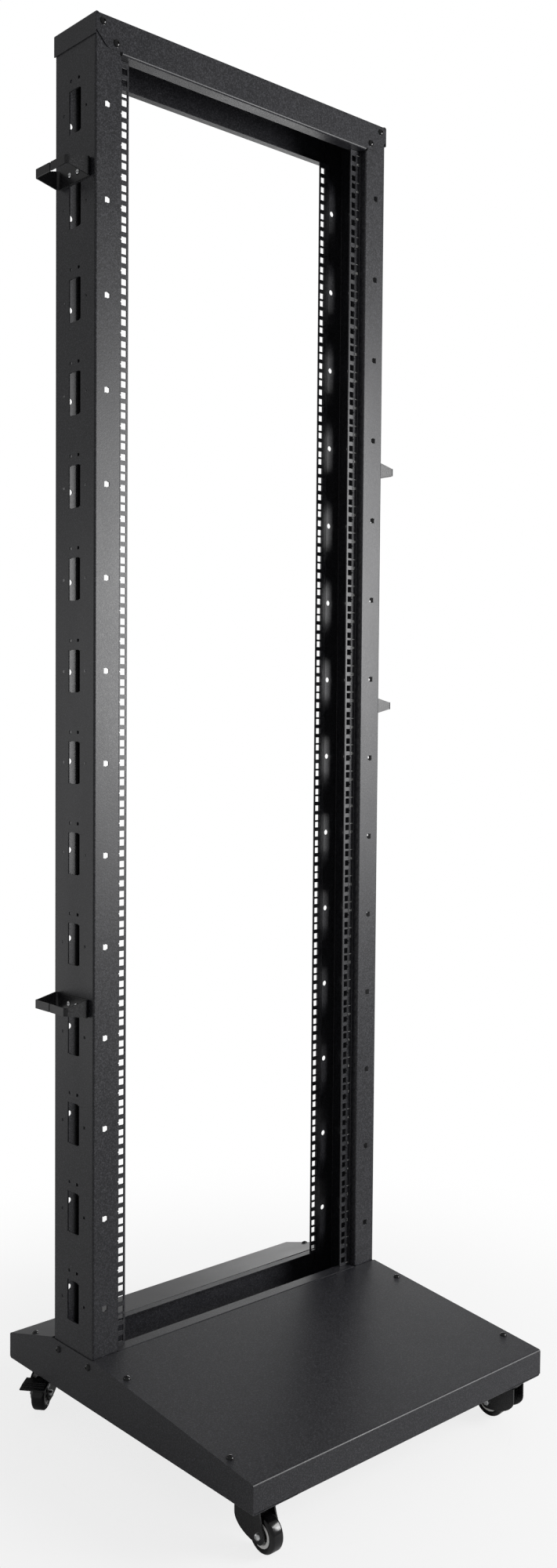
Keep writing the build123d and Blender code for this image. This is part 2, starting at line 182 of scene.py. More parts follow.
class MeshBuilder:
    """Collects faces with their corner normals and makes one closed Blender mesh of them."""

    def __init__(self) -> None:
        """Starts without faces."""
        self.points: list[Array] = []
        self.faces: list[Array] = []
        self.normals: list[Array] = []
        self.slots: list[Array] = []
        self.count = 0

    def add(self, points: Array, faces: Array, normals: Array | None = None, slot: int = 0) -> None:
        """Adds faces.

        Args:
            points: corner points, one row each, in millimetres.
            faces: rows of three or four indices into points.
            normals: one normal per point, or None for flat faces.
            slot: index of the faces' material.
        """
        if normals is None:
            corners = points[faces]
            across, along = corners[:, 2] - corners[:, 0], corners[:, -1] - corners[:, 1]
            flat = normalized(np.cross(across, along))
            corner_normals = np.repeat(flat[:, None, :], faces.shape[1], axis=1)
        else:
            corner_normals = normals[faces]
        self.points.append(points)
        self.faces.append(faces + self.count)
        self.normals.append(corner_normals)
        self.slots.append(np.full(len(faces), slot))
        self.count += len(points)

    def build(self, name: str, materials: Sequence[bpy.types.Material]) -> bpy.types.Object:
        """Welds what was added and makes the object.

        A quad that welding leaves with three corners becomes a triangle, and one with fewer goes.

        Args:
            name: the object's name.
            materials: the materials that the faces' slots point at.

        Returns:
            The new object, at the origin, in metres.
        """
        points = np.concatenate(self.points)
        first, places = weld(points)
        loops, sizes, loop_normals, slots = [], [], [], []
        for faces, normals, slot in zip(self.faces, self.normals, self.slots):
            mapped = places[faces]
            distinct = mapped != np.roll(mapped, -1, axis=1)
            kept = distinct.sum(axis=1) > 2
            if mapped.shape[1] == 4:
                kept &= (mapped[:, 0] != mapped[:, 2]) & (mapped[:, 1] != mapped[:, 3])
            distinct = distinct[kept]
            loops.append(mapped[kept][distinct])
            loop_normals.append(normals[kept][distinct])
            sizes.append(distinct.sum(axis=1))
            slots.append(slot[kept])
        used, loop_index = np.unique(np.concatenate(loops), return_inverse=True)
        mesh = bpy.data.meshes.new(name)
        mesh.vertices.add(len(used))
        mesh.vertices.foreach_set("co", (points[first[used]] * MM).ravel())
        mesh.loops.add(len(loop_index))
        mesh.loops.foreach_set("vertex_index", loop_index)
        counts = np.concatenate(sizes)
        mesh.polygons.add(len(counts))
        mesh.polygons.foreach_set("loop_start", np.cumsum(counts) - counts)
        mesh.polygons.foreach_set("material_index", np.concatenate(slots))
        mesh.update(calc_edges=True)
        mesh.polygons.foreach_set("use_smooth", np.ones(len(counts), bool))
        mesh.normals_split_custom_set(np.concatenate(loop_normals))
        for material in materials:
            mesh.materials.append(material)
        result = bpy.data.objects.new(name, mesh)
        bpy.context.scene.collection.objects.link(result)
        return result


def place_piece(
    builder: MeshBuilder,
    name: str,
    finishes: Sequence["Finish"],
    replaced: Sequence[str] = (),
    body: str = ROOT_BODY,
) -> None:
    """Makes a piece of the collected faces, ties it to the frame and reports it.

    Args:
        builder: the piece's faces.
        name: the piece's name.
        finishes: what the faces' slots point at.
        replaced: the CAD nodes that it stands for.
        body: the CAD body that it rides on.
    """
    obj = builder.build(name, [finish.material() for finish in finishes])
    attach(obj, body)
    if replaced:
        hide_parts(*replaced)
    log.info("%s built", name)


@dataclass(frozen=True)
class Frame3:
    """Local axes: a point is origin + x * first + y * second + z * third.

    Args:
        origin: the local origin, in millimetres.
        first: direction of the first axis.
        second: direction of the second axis.
        third: direction of the third axis.
    """

    origin: tuple[float, float, float] = (0.0, 0.0, 0.0)
    first: tuple[float, float, float] = (1.0, 0.0, 0.0)
    second: tuple[float, float, float] = (0.0, 1.0, 0.0)
    third: tuple[float, float, float] = (0.0, 0.0, 1.0)

    @property
    def matrix(self) -> Array:
        """Returns the axes as the rows of a matrix."""
        return np.array([self.first, self.second, self.third], float)

    @property
    def mirrored(self) -> bool:
        """Returns whether the axes form a left hand."""
        return bool(np.linalg.det(self.matrix) < 0)

    def points(self, local: Array) -> Array:
        """Returns local points, one row each, in the rack's axes."""
        return np.asarray(self.origin) + local @ self.matrix

    def directions(self, local: Array) -> Array:
        """Returns local directions, one row each, in the rack's axes."""
        return local @ self.matrix


# Folded sheet metal


@dataclass(frozen=True)
class Holes:
    """A row of equal holes in one flat of a folded sheet.

    Args:
        flat: index of the flat, counted from the start of the fold path.
        across: distance of the hole centres from the start of that flat.
        along: positions of the hole centres along the fold axis.
        half_across: half of the hole's size across.
        half_along: half of the hole's size along.
        corner: corner radius; half of the size gives a round hole.
        steps: steps in each eighth of a turn.
        notch: depth of a small notch in the far side, negative for the near side.
    """

    flat: int
    across: float
    along: Array
    half_across: float
    half_along: float
    corner: float
    steps: int
    notch: float = 0.0

    def offsets(self, half: float) -> Array:
        """Returns the grid lines that a hole needs, from its centre, for this half size."""
        rounded = half - self.corner + self.corner * np.arange(self.steps + 1) / self.steps
        return np.unique(np.concatenate([-rounded, rounded]))

    def nearest(self, along: Array) -> Array:
        """Measures positions from the nearest hole centre.

        Args:
            along: positions along the fold axis.

        Returns:
            Signed distances from the nearest centre.
        """
        right = np.clip(np.searchsorted(self.along, along), 1, len(self.along) - 1)
        low, high = self.along[right - 1], self.along[right]
        return along - np.where(along - low < high - along, low, high)

    def pull(self, across: Array, along: Array) -> tuple[Array, Array]:
        """Moves the grid points on a hole's rectangle to its rounded outline.

        In a corner square the point's distance along the two sides of the square becomes the angle
        on the corner arc, from 0 to 90 degrees, so evenly spaced lines give an even arc.

        Args:
            across: distances of the points from the start of the flat.
            along: positions of the points along the fold axis.

        Returns:
            The moved distances and positions.
        """
        x, z = across - self.across, self.nearest(along)
        size_x, size_z = np.abs(x), np.abs(z)
        inside = (size_x < self.half_across + NEAR) & (size_z < self.half_along + NEAR)
        edge = inside & ((size_x > self.half_across - NEAR) | (size_z > self.half_along - NEAR))
        inner_x, inner_z = self.half_across - self.corner, self.half_along - self.corner
        corner_x, corner_z = size_x - inner_x, size_z - inner_z
        arc = edge & (corner_x > NEAR) & (corner_z > NEAR)
        safe_x, safe_z = np.where(arc, corner_x, 1.0), np.where(arc, corner_z, 1.0)
        angle = np.where(safe_x >= safe_z, safe_z / safe_x, 2 - safe_x / safe_z) * math.pi / 4
        moved_x = np.where(arc, np.sign(x) * (inner_x + self.corner * np.cos(angle)), x)
        moved_z = np.where(arc, np.sign(z) * (inner_z + self.corner * np.sin(angle)), z)
        if self.notch:
            point = edge & (size_z < NEAR) & (x * self.notch > 0)
            moved_x = np.where(point, x + self.notch, moved_x)
        return moved_x + self.across, moved_z + (along - z)

    def inside(self, across: Array, along: Array) -> Array:
        """Returns True for each point inside a hole's rectangle."""
        off_x, off_z = np.abs(across - self.across), np.abs(self.nearest(along))
        return (off_x < self.half_across) & (off_z < self.half_along)


class FoldPath:
    """The middle line of a folded sheet in its cross-section: flats joined by tangent arcs."""

    def __init__(
        self, corners: Sequence[tuple[float, float]], radius: float, arc_steps: int = 6
    ) -> None:
        """Works out the flats and the arcs.

        Args:
            corners: the sharp corners of the middle line, from one free edge to the other.
            radius: radius of the middle line in every fold.
            arc_steps: steps in each arc.
        """
        points = np.array(corners, float)
        runs = np.diff(points, axis=0)
        lengths = np.linalg.norm(runs, axis=1)
        self.directions = runs / lengths[:, None]
        before, after = self.directions[:-1], self.directions[1:]
        turn = before[:, 0] * after[:, 1] - before[:, 1] * after[:, 0]
        self.turns = np.arctan2(turn, np.sum(before * after, axis=1))
        cut = radius * np.tan(np.abs(self.turns) / 2)
        lead, tail = np.append(0.0, cut), np.append(cut, 0.0)
        self.flat_lengths = lengths - lead - tail
        self.flat_starts = points[:-1] + self.directions * lead[:, None]
        pieces = np.zeros(2 * len(lengths) - 1)
        pieces[0::2] = self.flat_lengths
        pieces[1::2] = np.abs(self.turns) * radius
        self.breaks = np.append(0.0, np.cumsum(pieces))
        self.radius = radius
        self.arc_steps = arc_steps

    def span(self, piece: int) -> tuple[float, float]:
        """Returns where a piece begins and ends; even pieces are flats and odd ones are arcs."""
        return float(self.breaks[piece]), float(self.breaks[piece + 1])

    def at(self, distance: Array) -> tuple[Array, Array]:
        """Follows the path.

        On a flat the point moves along the flat's direction. On an arc the direction turns evenly
        with the distance, and the point is the chord that such a turn sweeps.

        Args:
            distance: distances along the path.

        Returns:
            The points and the unit normals to the left of the path, one row each.
        """
        found = np.searchsorted(self.breaks, distance - TINY, side="right") - 1
        piece = np.clip(found, 0, len(self.breaks) - 2)
        flat, on_arc = piece // 2, piece % 2 == 1
        within = distance - self.breaks[piece]
        straight = np.where(on_arc, self.flat_lengths[flat], within)[:, None]
        start = self.flat_starts[flat] + self.directions[flat] * straight
        turns = np.append(self.turns, 0.0)[flat]
        angle = np.where(on_arc, np.sign(turns) * within / self.radius, 0.0)
        heading = np.arctan2(self.directions[flat, 1], self.directions[flat, 0])
        chord = 2 * self.radius * np.sin(np.abs(angle) / 2)
        half, final = heading + angle / 2, heading + angle
        point = start + chord[:, None] * paired(np.cos(half), np.sin(half))
        return point, paired(-np.sin(final), np.cos(final))


def zip_columns(left: tuple[float, Array], right: tuple[float, Array]) -> tuple[Array, Array]:
    """Joins two columns of points by a row of triangles.

    The heights of both columns are merged in order, and each height closes one triangle with the
    last point that was passed in the other column.

    Args:
        left: the left column's distance and its heights, rising.
        right: the same of the right column, with the same lowest and highest height.

    Returns:
        The points as (distance, height) and the triangles.
    """
    base = len(left[1])
    heights = np.concatenate([left[1][1:], right[1][1:]])
    is_left = (np.arange(len(heights)) < base - 1)[np.argsort(heights, kind="stable")]
    i, j = np.cumsum(is_left), np.cumsum(~is_left)
    last = np.where(is_left, i - 1, i)
    middle = np.where(is_left, base + j, base + j - 1)
    top = np.where(is_left, i, base + j)
    return np.concatenate([paired(*left), paired(*right)]), np.stack([last, middle, top], 1)


@dataclass
class FoldedSheet:
    """Sheet metal: a flat pattern with holes, laid along a fold path and given its thickness.

    Each flat is a grid of straight lines, with the cells inside the holes left out and the lines'
    points pulled to the outlines. Zipped triangles join it to the arcs beside it. The pattern's
    points then go to path(distance) + normal * half of the thickness, on both sides, and the open
    edges of the pattern become the sheet's cut edges.

    Args:
        path: the middle line.
        along: lowest and highest position along the fold axis.
        thickness: the sheet's thickness.
        axes: local axes; the path lies in the first two and the fold axis is the third.
        holes: rows of holes.
        trims: other limits along the fold axis for some pieces of the path.
        lines: further grid lines along the fold axis.
        cross_lines: further grid lines across, as (flat, distance) pairs.
        shape: moves pattern points, for slanted ends.
    """

    SEAM = 0.35
    NOTCH_SPREAD = 0.8

    path: FoldPath
    along: tuple[float, float]
    thickness: float
    axes: Frame3
    holes: Sequence[Holes] = ()
    trims: dict[int, tuple[float, float]] = field(default_factory=dict)
    lines: Sequence[float] = ()
    cross_lines: Sequence[tuple[int, float]] = ()
    shape: Shape | None = None

    def limits(self, piece: int) -> tuple[float, float]:
        """Returns the lowest and highest position of a piece along the fold axis."""
        return self.trims.get(piece, self.along)

    def holes_in(self, piece: int) -> list[Holes]:
        """Returns the rows of holes in a piece of the path."""
        return [row for row in self.holes if 2 * row.flat == piece]

    @staticmethod
    def within(values: Array, low: float, high: float) -> Array:
        """Returns the values from low to high."""
        return values[(values >= low - NEAR) & (values <= high + NEAR)]

    def grid(self, piece: int) -> tuple[Array, Array]:
        """Lists the grid lines of a piece.

        Args:
            piece: index of the piece of the path.

        Returns:
            The distances along the path and the positions along the fold axis.
        """
        begin, end = self.path.span(piece)
        low, high = self.limits(piece)
        last = len(self.path.breaks) - 2
        beside = [v for p in (piece - 1, piece + 1) if 0 <= p <= last for v in self.limits(p)]
        along = [np.array([low, high]), np.array(beside, float), np.array(self.lines, float)]
        if piece % 2 == 1:
            across = np.linspace(begin, end, self.path.arc_steps + 1)
        else:
            ends = [begin + self.SEAM * (piece > 0), end - self.SEAM * (piece < last)]
            lines = [np.array(ends)]
            for row in self.holes_in(piece):
                lines.append(begin + row.across + row.offsets(row.half_across))
                offsets = row.offsets(row.half_along)
                if row.notch:
                    spread = abs(row.notch) * self.NOTCH_SPREAD
                    offsets = np.append(offsets, [-spread, 0.0, spread])
                along.append((row.along[:, None] + offsets).ravel())
            lines += [np.array([begin + d]) for flat, d in self.cross_lines if 2 * flat == piece]
            across = np.unique(np.round(self.within(np.concatenate(lines), *ends), 5))
        return across, self.within(np.unique(np.round(np.concatenate(along), 5)), low, high)

    def pattern(self) -> tuple[Array, list[Array]]:
        """Lays out the flat pattern.

        Returns:
            The points as (distance, position) and the arrays of faces.
        """
        points: list[Array] = []
        faces: list[Array] = []
        base = 0
        before: tuple[float, Array] | None = None
        for piece in range(len(self.path.breaks) - 1):
            across, along = self.grid(piece)
            grid_u, grid_v = np.meshgrid(across, along, indexing="ij")
            cell_u = (grid_u[:-1, :-1] + grid_u[1:, 1:]) / 2
            cell_v = (grid_v[:-1, :-1] + grid_v[1:, 1:]) / 2
            kept = np.ones(cell_u.shape, bool)
            u, v = grid_u.ravel(), grid_v.ravel()
            start = self.path.span(piece)[0]
            for row in self.holes_in(piece):
                kept &= ~row.inside(cell_u - start, cell_v)
                pulled, v = row.pull(u - start, v)
                u = pulled + start
            index = np.arange(len(u)).reshape(grid_u.shape)
            cells = [index[:-1, :-1], index[1:, :-1], index[1:, 1:], index[:-1, 1:]]
            if before is not None and abs(before[0] - across[0]) > NEAR:
                ends = max(before[1][0], along[0]), min(before[1][-1], along[-1])
                left = (before[0], self.within(before[1], *ends))
                zipped, triangles = zip_columns(left, (across[0], self.within(along, *ends)))
                points.append(zipped)
                faces.append(triangles + base)
                base += len(zipped)
            points.append(paired(u, v))
            faces.append(np.stack(cells, -1)[kept] + base)
            base += len(u)
            before = (float(across[-1]), along)
        return np.concatenate(points), faces

    def add_to(self, builder: MeshBuilder) -> None:
        """Adds the sheet to a mesh.

        Args:
            builder: the mesh that takes the faces.
        """
        points, faces = self.pattern()
        first, places = weld(points)
        faces = [places[face] for face in faces if len(face)]
        u, v = points[first].T
        if self.shape is not None:
            u, v = self.shape(u, v)
        middle, normal = self.path.at(u)
        count = len(u)
        facing = self.axes.directions(np.concatenate([normal, np.zeros((count, 1))], 1))
        plain = self.axes.mirrored
        sides = []
        for sign in (1, -1):
            shifted = middle + sign * normal * self.thickness / 2
            sides.append(self.axes.points(np.concatenate([shifted, v[:, None]], 1)))
            for face in faces:
                ordered = face if (sign > 0) == plain else face[:, ::-1]
                builder.add(sides[-1], ordered, sign * facing)
        a, b = open_edges(faces, count)
        walls = np.stack([a, b, b + count, a + count], 1)
        builder.add(np.concatenate(sides), walls[:, ::-1] if plain else walls)


# Turned and ruled pieces


Profile = tuple[tuple[float, float], ...]


def lifted(profile: Profile, height: float) -> Profile:
    """Returns a profile of (radius, height) rows, moved up by a height."""
    return tuple((r, h + height) for r, h in profile)


def mirrored(profile: Profile) -> Profile:
    """Returns a profile with its heights negated, walked the other way."""
    return tuple((r, -h) for r, h in profile[::-1])


@dataclass(frozen=True)
class Turned:
    """A surface of revolution: point(angle, step) = centre + height * axis + radius * spoke(angle).

    Args:
        profile: rows of (radius, height) along the closed or axis-to-axis outline; the surface's
            outside is to the right of the outline as it is walked with the height upwards.
        segments: steps round the axis.
        closed: whether the last row joins the first.
        crease: least angle in degrees between two steps that stays sharp.
    """

    profile: Profile
    segments: int = 56
    closed: bool = False
    crease: float = 35.0

    @staticmethod
    def spin(outline: Array, spokes: Array) -> Array:
        """Turns an outline round the axis.

        Args:
            outline: rows of (radius, height).
            spokes: unit vectors, one in each row.

        Returns:
            The points as a grid, with a row for each row of the outline.
        """
        flat = outline[:, None, :1] * spokes
        high = np.broadcast_to(outline[:, None, 1:], (*flat.shape[:2], 1))
        return np.concatenate([flat, high], 2)

    def add_to(self, builder: MeshBuilder, axes: Frame3, slot: int = 0) -> None:
        """Adds the surface to a mesh.

        Args:
            builder: the mesh that takes the faces.
            axes: local axes; the surface turns about the third.
            slot: index of the surface's material.
        """
        outline = np.array(self.profile, float)
        ends = np.roll(outline, -1, axis=0) if self.closed else outline[1:]
        starts = outline if self.closed else outline[:-1]
        steps = ends - starts
        normals = normalized(paired(steps[:, 1], -steps[:, 0]))
        limit = math.cos(math.radians(self.crease))
        blended = []
        for shift, end in ((1, 0), (-1, -1)):
            other = np.roll(normals, shift, axis=0)
            smooth = np.sum(normals * other, axis=1) > limit
            if not self.closed:
                smooth[end] = False
            blended.append(normalized(np.where(smooth[:, None], normals + other, normals)))
        angle = np.linspace(0, 2 * math.pi, self.segments, endpoint=False)
        here = paired(np.cos(angle), np.sin(angle))
        after = np.roll(here, -1, axis=0)
        lower, upper = (starts, blended[0]), (ends, blended[1])
        corners = ((lower, here), (upper, here), (upper, after), (lower, after))
        points, facing = (
            np.stack([self.spin(pair[kind], spokes) for pair, spokes in corners], 2).reshape(-1, 3)
            for kind in (0, 1)
        )
        faces = np.arange(len(points)).reshape(-1, 4)
        if not axes.mirrored:
            faces = faces[:, ::-1]
        builder.add(axes.points(points), faces, axes.directions(facing), slot)


@dataclass(frozen=True)
class Plate:
    """A flat plate between two curves: point(s, t) = near(s) * (1 - t) + far(s) * t.

    Args:
        near: rows of (x, y) along one edge.
        far: as many rows along the opposite edge.
        low: height of the plate's lower face.
        high: height of its upper face.
        bevel: size of the bevel round both faces.
    """

    near: Array
    far: Array
    low: float
    high: float
    bevel: float = 0.3

    def add_to(self, builder: MeshBuilder, axes: Frame3) -> None:
        """Adds the plate to a mesh.

        Args:
            builder: the mesh that takes the faces.
            axes: local axes; the plate lies in the first two.
        """
        count = len(self.near)
        loop = np.concatenate([self.near, self.far[::-1]])
        ahead, behind = np.roll(loop, -1, axis=0) - loop, loop - np.roll(loop, 1, axis=0)
        area = np.sum(loop[:, 0] * ahead[:, 1] - loop[:, 1] * ahead[:, 0])
        tangent = normalized(normalized(ahead) + normalized(behind))
        outward = paired(tangent[:, 1], -tangent[:, 0]) * np.sign(area)
        inset = loop - outward * self.bevel
        levels = [
            (inset, self.low),
            (loop, self.low + self.bevel),
            (loop, self.high - self.bevel),
            (inset, self.high),
        ]
        rings = [np.concatenate([ring, np.full((2 * count, 1), z)], 1) for ring, z in levels]
        points = axes.points(np.concatenate(rings))
        around = np.arange(2 * count)
        after = np.roll(around, -1)
        i = np.arange(count - 1)
        cap = np.stack([i, i + 1, 2 * count - 2 - i, 2 * count - 1 - i], 1)
        faces = [cap[:, ::-1], cap + 6 * count]
        for level in 2 * count * np.arange(3):
            a, b = around + level, after + level
            faces.append(np.stack([a, b, b + 2 * count, a + 2 * count], 1))
        upright = (area > 0) != axes.mirrored
        for face in faces:
            builder.add(points, face if upright else face[:, ::-1])


# Materials


class Value:
    """A shader socket or number that takes part in sums, products and comparisons."""

    def __init__(self, graph: "Graph", source: bpy.types.NodeSocket | float) -> None:
        """Wraps a socket or a number of this graph."""
        self.graph = graph
        self.source = source

    def _math(self, operation: str, *others: "Value | float", clamp: bool = False) -> "Value":
        """Adds a math node.

        Args:
            operation: the node's operation.
            others: its further inputs.
            clamp: whether the result is kept between 0 and 1.

        Returns:
            The node's result.
        """
        node = self.graph.node("ShaderNodeMath", {"operation": operation, "use_clamp": clamp}, {
            index: value for index, value in enumerate((self, *others))
        })
        return Value(self.graph, node.outputs[0])

    def __add__(self, other: "Value | float") -> "Value":
        """Returns the sum."""
        return self._math("ADD", other)

    __radd__ = __add__

    def __sub__(self, other: "Value | float") -> "Value":
        """Returns the difference."""
        return self._math("SUBTRACT", other)

    def __rsub__(self, other: "Value | float") -> "Value":
        """Returns the difference, with this value taken away."""
        return Value(self.graph, other)._math("SUBTRACT", self)

    def __mul__(self, other: "Value | float") -> "Value":
        """Returns the product."""
        return self._math("MULTIPLY", other)

    __rmul__ = __mul__

    def __gt__(self, other: "Value | float") -> "Value":
        """Returns 1 where this value is greater, and 0 elsewhere."""
        return self._math("GREATER_THAN", other)

    def __lt__(self, other: "Value | float") -> "Value":
        """Returns 1 where this value is less, and 0 elsewhere."""
        return self._math("LESS_THAN", other)

    def clamped(self) -> "Value":
        """Returns the value, kept between 0 and 1."""
        return self._math("ADD", 0.0, clamp=True)

    def blend(self, low: Sequence[float], high: Sequence[float]) -> bpy.types.NodeSocket:
        """Mixes two colours by this value.

        Args:
            low: colour at 0.
            high: colour at 1.

        Returns:
            The mixed colour's socket.
        """
        inputs = {0: self, 6: (*low, 1.0), 7: (*high, 1.0)}
        return self.graph.node("ShaderNodeMix", {"data_type": "RGBA"}, inputs).outputs[2]


class Graph:
    """A node tree, of the world or of a material."""

    def __init__(self, tree: bpy.types.NodeTree) -> None:
        """Takes a tree and empties it."""
        self.tree = tree
        self.tree.nodes.clear()

    def node(
        self,
        kind: str,
        settings: dict[str, object] | None = None,
        inputs: dict[str | int, object] | None = None,
    ) -> bpy.types.Node:
        """Adds a node.

        Args:
            kind: the node's type.
            settings: properties to set on it.
            inputs: numbers, colours, sockets or values for its inputs.

        Returns:
            The new node.
        """
        made = self.tree.nodes.new(kind)
        for key, setting in (settings or {}).items():
            setattr(made, key, setting)
        for key, given in (inputs or {}).items():
            self.feed(made.inputs[key], given)
        return made

    def feed(self, socket: bpy.types.NodeSocket, given: object) -> None:
        """Links or sets one input.

        Args:
            socket: the input.
            given: a value, a socket, a number or a colour.
        """
        source = given.source if isinstance(given, Value) else given
        if isinstance(source, bpy.types.NodeSocket):
            self.tree.links.new(source, socket)
        else:
            socket.default_value = source


class Surface(Graph):
    """The node tree of one material."""

    def __init__(self, name: str) -> None:
        """Starts a material with only its output and its main shader.

        Args:
            name: the material's name.
        """
        self.material = bpy.data.materials.new(name)
        self.material.use_nodes = True
        super().__init__(self.material.node_tree)
        self.shader = self.node("ShaderNodeBsdfPrincipled")
        self.node("ShaderNodeOutputMaterial", {}, {"Surface": self.shader.outputs[0]})

    def shade(self, inputs: dict[str, object]) -> None:
        """Links or sets inputs of the main shader, given by their names."""
        for name, given in inputs.items():
            self.feed(self.shader.inputs[name], given)

    def noise(
        self, scale: float, detail: float, stretch: Sequence[float] = (1.0, 1.0, 1.0)
    ) -> Value:
        """Adds noise in object space.

        Args:
            scale: features in each metre.
            detail: octaves of finer noise.
            stretch: scale factors along the axes.

        Returns:
            The noise, from 0 to 1.
        """
        place = self.node("ShaderNodeTexCoord").outputs["Object"]
        mapped = self.node("ShaderNodeMapping", {}, {"Vector": place, "Scale": tuple(stretch)})
        inputs = {"Vector": mapped.outputs[0], "Scale": scale, "Detail": detail}
        return Value(self, self.node("ShaderNodeTexNoise", {}, inputs).outputs[0])

    def grains(self, scale: float) -> Value:
        """Adds one random number for each small cell of space.

        Args:
            scale: cells in each metre.

        Returns:
            The random number, from 0 to 1.
        """
        place = self.node("ShaderNodeTexCoord").outputs["Object"]
        cells = self.node("ShaderNodeTexVoronoi", {}, {"Vector": place, "Scale": scale})
        split = self.node("ShaderNodeSeparateColor", {}, {0: cells.outputs["Color"]})
        return Value(self, split.outputs[0])

    def bump(self, height: Value, distance: float) -> None:
        """Lets a height from 0 to 1 stand out by a distance in metres on the main shader."""
        inputs = {"Height": height, "Distance": distance, "Strength": 1.0}
        self.shade({"Normal": self.node("ShaderNodeBump", {}, inputs).outputs[0]})


@dataclass(frozen=True)
class PowderCoat:
    """Black powder coat: a pebbled film with fine bright grains and faint handling marks.

    Args:
        name: the material's name.
        dark: base colour.
        light: base colour of the grains.
        roughness: mean roughness.
        pebble: height of the film's pebbles, in metres.
        coat: weight and roughness of the clear coat.
        film: the film's features in each metre and its octaves.
        film_tone: where the film turns light and how fast.
        grain: the grains' cells in each metre.
        grain_tone: the share of cells that stay dark and how light the others are.
        marks: the handling marks' features in each metre, their octaves and their upright scale.
    """

    name: str
    dark: tuple[float, float, float] = (0.0082, 0.0083, 0.0108)
    light: tuple[float, float, float] = (0.088, 0.0885, 0.1)
    roughness: float = 0.4
    pebble: float = 0.00008
    coat: tuple[float, float] = (0.0, 0.3)
    film: tuple[float, float] = (480.0, 4.0)
    film_tone: tuple[float, float] = (0.46, 1.6)
    grain: float = 1100.0
    grain_tone: tuple[float, float] = (0.86, 0.35)
    marks: tuple[float, float, float] = (7.0, 4.0, 0.35)

    def build(self) -> bpy.types.Material:
        """Makes the material.

        Returns:
            The new material.
        """
        graph = Surface(self.name)
        film = graph.noise(*self.film)
        marks = graph.noise(*self.marks[:2], (1.0, 1.0, self.marks[2]))
        bright = (graph.grains(self.grain) > self.grain_tone[0]) * self.grain_tone[1]
        tone = bright + (film - self.film_tone[0]) * self.film_tone[1]
        rough = (marks - 0.5) * 0.22 + (film - 0.5) * 0.25 + self.roughness
        graph.shade({
            "Base Color": tone.clamped().blend(self.dark, self.light),
            "Roughness": rough.clamped(),
            "Coat Weight": self.coat[0],
            "Coat Roughness": self.coat[1],
        })
        graph.bump(film, self.pebble)
        return graph.material


@dataclass(frozen=True)
class Metal:
    """Plated steel with fine turning marks.

    Args:
        name: the material's name.
        color: base colour.
        roughness: mean roughness.
        stained: how dark the stains are.
        stain: the stains' features in each metre and their octaves.
        turning: the same of the turning marks.
        depth: height of the turning marks, in metres.
    """

    name: str
    color: tuple[float, float, float]
    roughness: float
    stained: float = 0.72
    stain: tuple[float, float] = (160.0, 3.0)
    turning: tuple[float, float] = (2400.0, 2.0)
    depth: float = 0.00002

    def build(self) -> bpy.types.Material:
        """Makes the material.

        Returns:
            The new material.
        """
        graph = Surface(self.name)
        stain = graph.noise(*self.stain)
        graph.shade({
            "Base Color": stain.blend([c * self.stained for c in self.color], self.color),
            "Metallic": 1.0,
            "Roughness": ((stain - 0.5) * 0.3 + self.roughness).clamped(),
        })
        graph.bump(graph.noise(*self.turning), self.depth)
        return graph.material


@dataclass(frozen=True)
class Moulded:
    """Moulded plastic, rubber or print: an even colour with a soft mottle and a fine grain.

    Args:
        name: the material's name.
        color: base colour.
        roughness: mean roughness.
        grain: height of the grain, in metres.
        mottle: how much the colour varies.
        cloud: the mottle's features in each metre and its octaves.
        fine: the same of the grain.
    """

    name: str
    color: tuple[float, float, float]
    roughness: float
    grain: float = 0.00003
    mottle: float = 0.12
    cloud: tuple[float, float] = (90.0, 3.0)
    fine: tuple[float, float] = (1600.0, 2.0)

    def build(self) -> bpy.types.Material:
        """Makes the material.

        Returns:
            The new material.
        """
        graph = Surface(self.name)
        fine = graph.noise(*self.fine)
        darker = [c * (1 - self.mottle) for c in self.color]
        graph.shade({
            "Base Color": graph.noise(*self.cloud).blend(darker, self.color),
            "Roughness": ((fine - 0.5) * 0.2 + self.roughness).clamped(),
        })
        graph.bump(fine, self.grain)
        return graph.material


class Finish(Enum):
    """The finishes of the rack; each value describes one material."""

    FRAME = PowderCoat("powder_coat_frame")
    RING = PowderCoat("powder_coat_ring", (0.004, 0.004, 0.005), (0.04, 0.04, 0.043), 0.32)
    CASTER = PowderCoat(
        "caster_black", (0.004, 0.004, 0.0045), (0.03, 0.03, 0.032), 0.26, 0.00002, (0.2, 0.3)
    )
    SCREW = Moulded("black_screw", (0.004, 0.004, 0.0045), 0.16, 0.000004)
    ZINC = Metal("zinc_plate", (0.86, 0.87, 0.88), 0.3)
    NYLON = Moulded("white_nylon", (0.93, 0.93, 0.91), 0.35, mottle=0.04)
    RUBBER = Moulded("tyre_rubber", (0.003, 0.003, 0.0035), 0.16, 0.000005)
    # Near black, for the recess floor and the boss in the middle of the hub.
    DARK_HUB_CENTRE = Moulded("dark_hub_centre", (0.016, 0.016, 0.017), 0.4)
    PRINT = Moulded("white_print", (0.62, 0.62, 0.6), 0.6)

    def material(self) -> bpy.types.Material:
        """Returns this finish's material, made once."""
        found = bpy.data.materials.get(self.value.name)
        return found or self.value.build()


# Posts


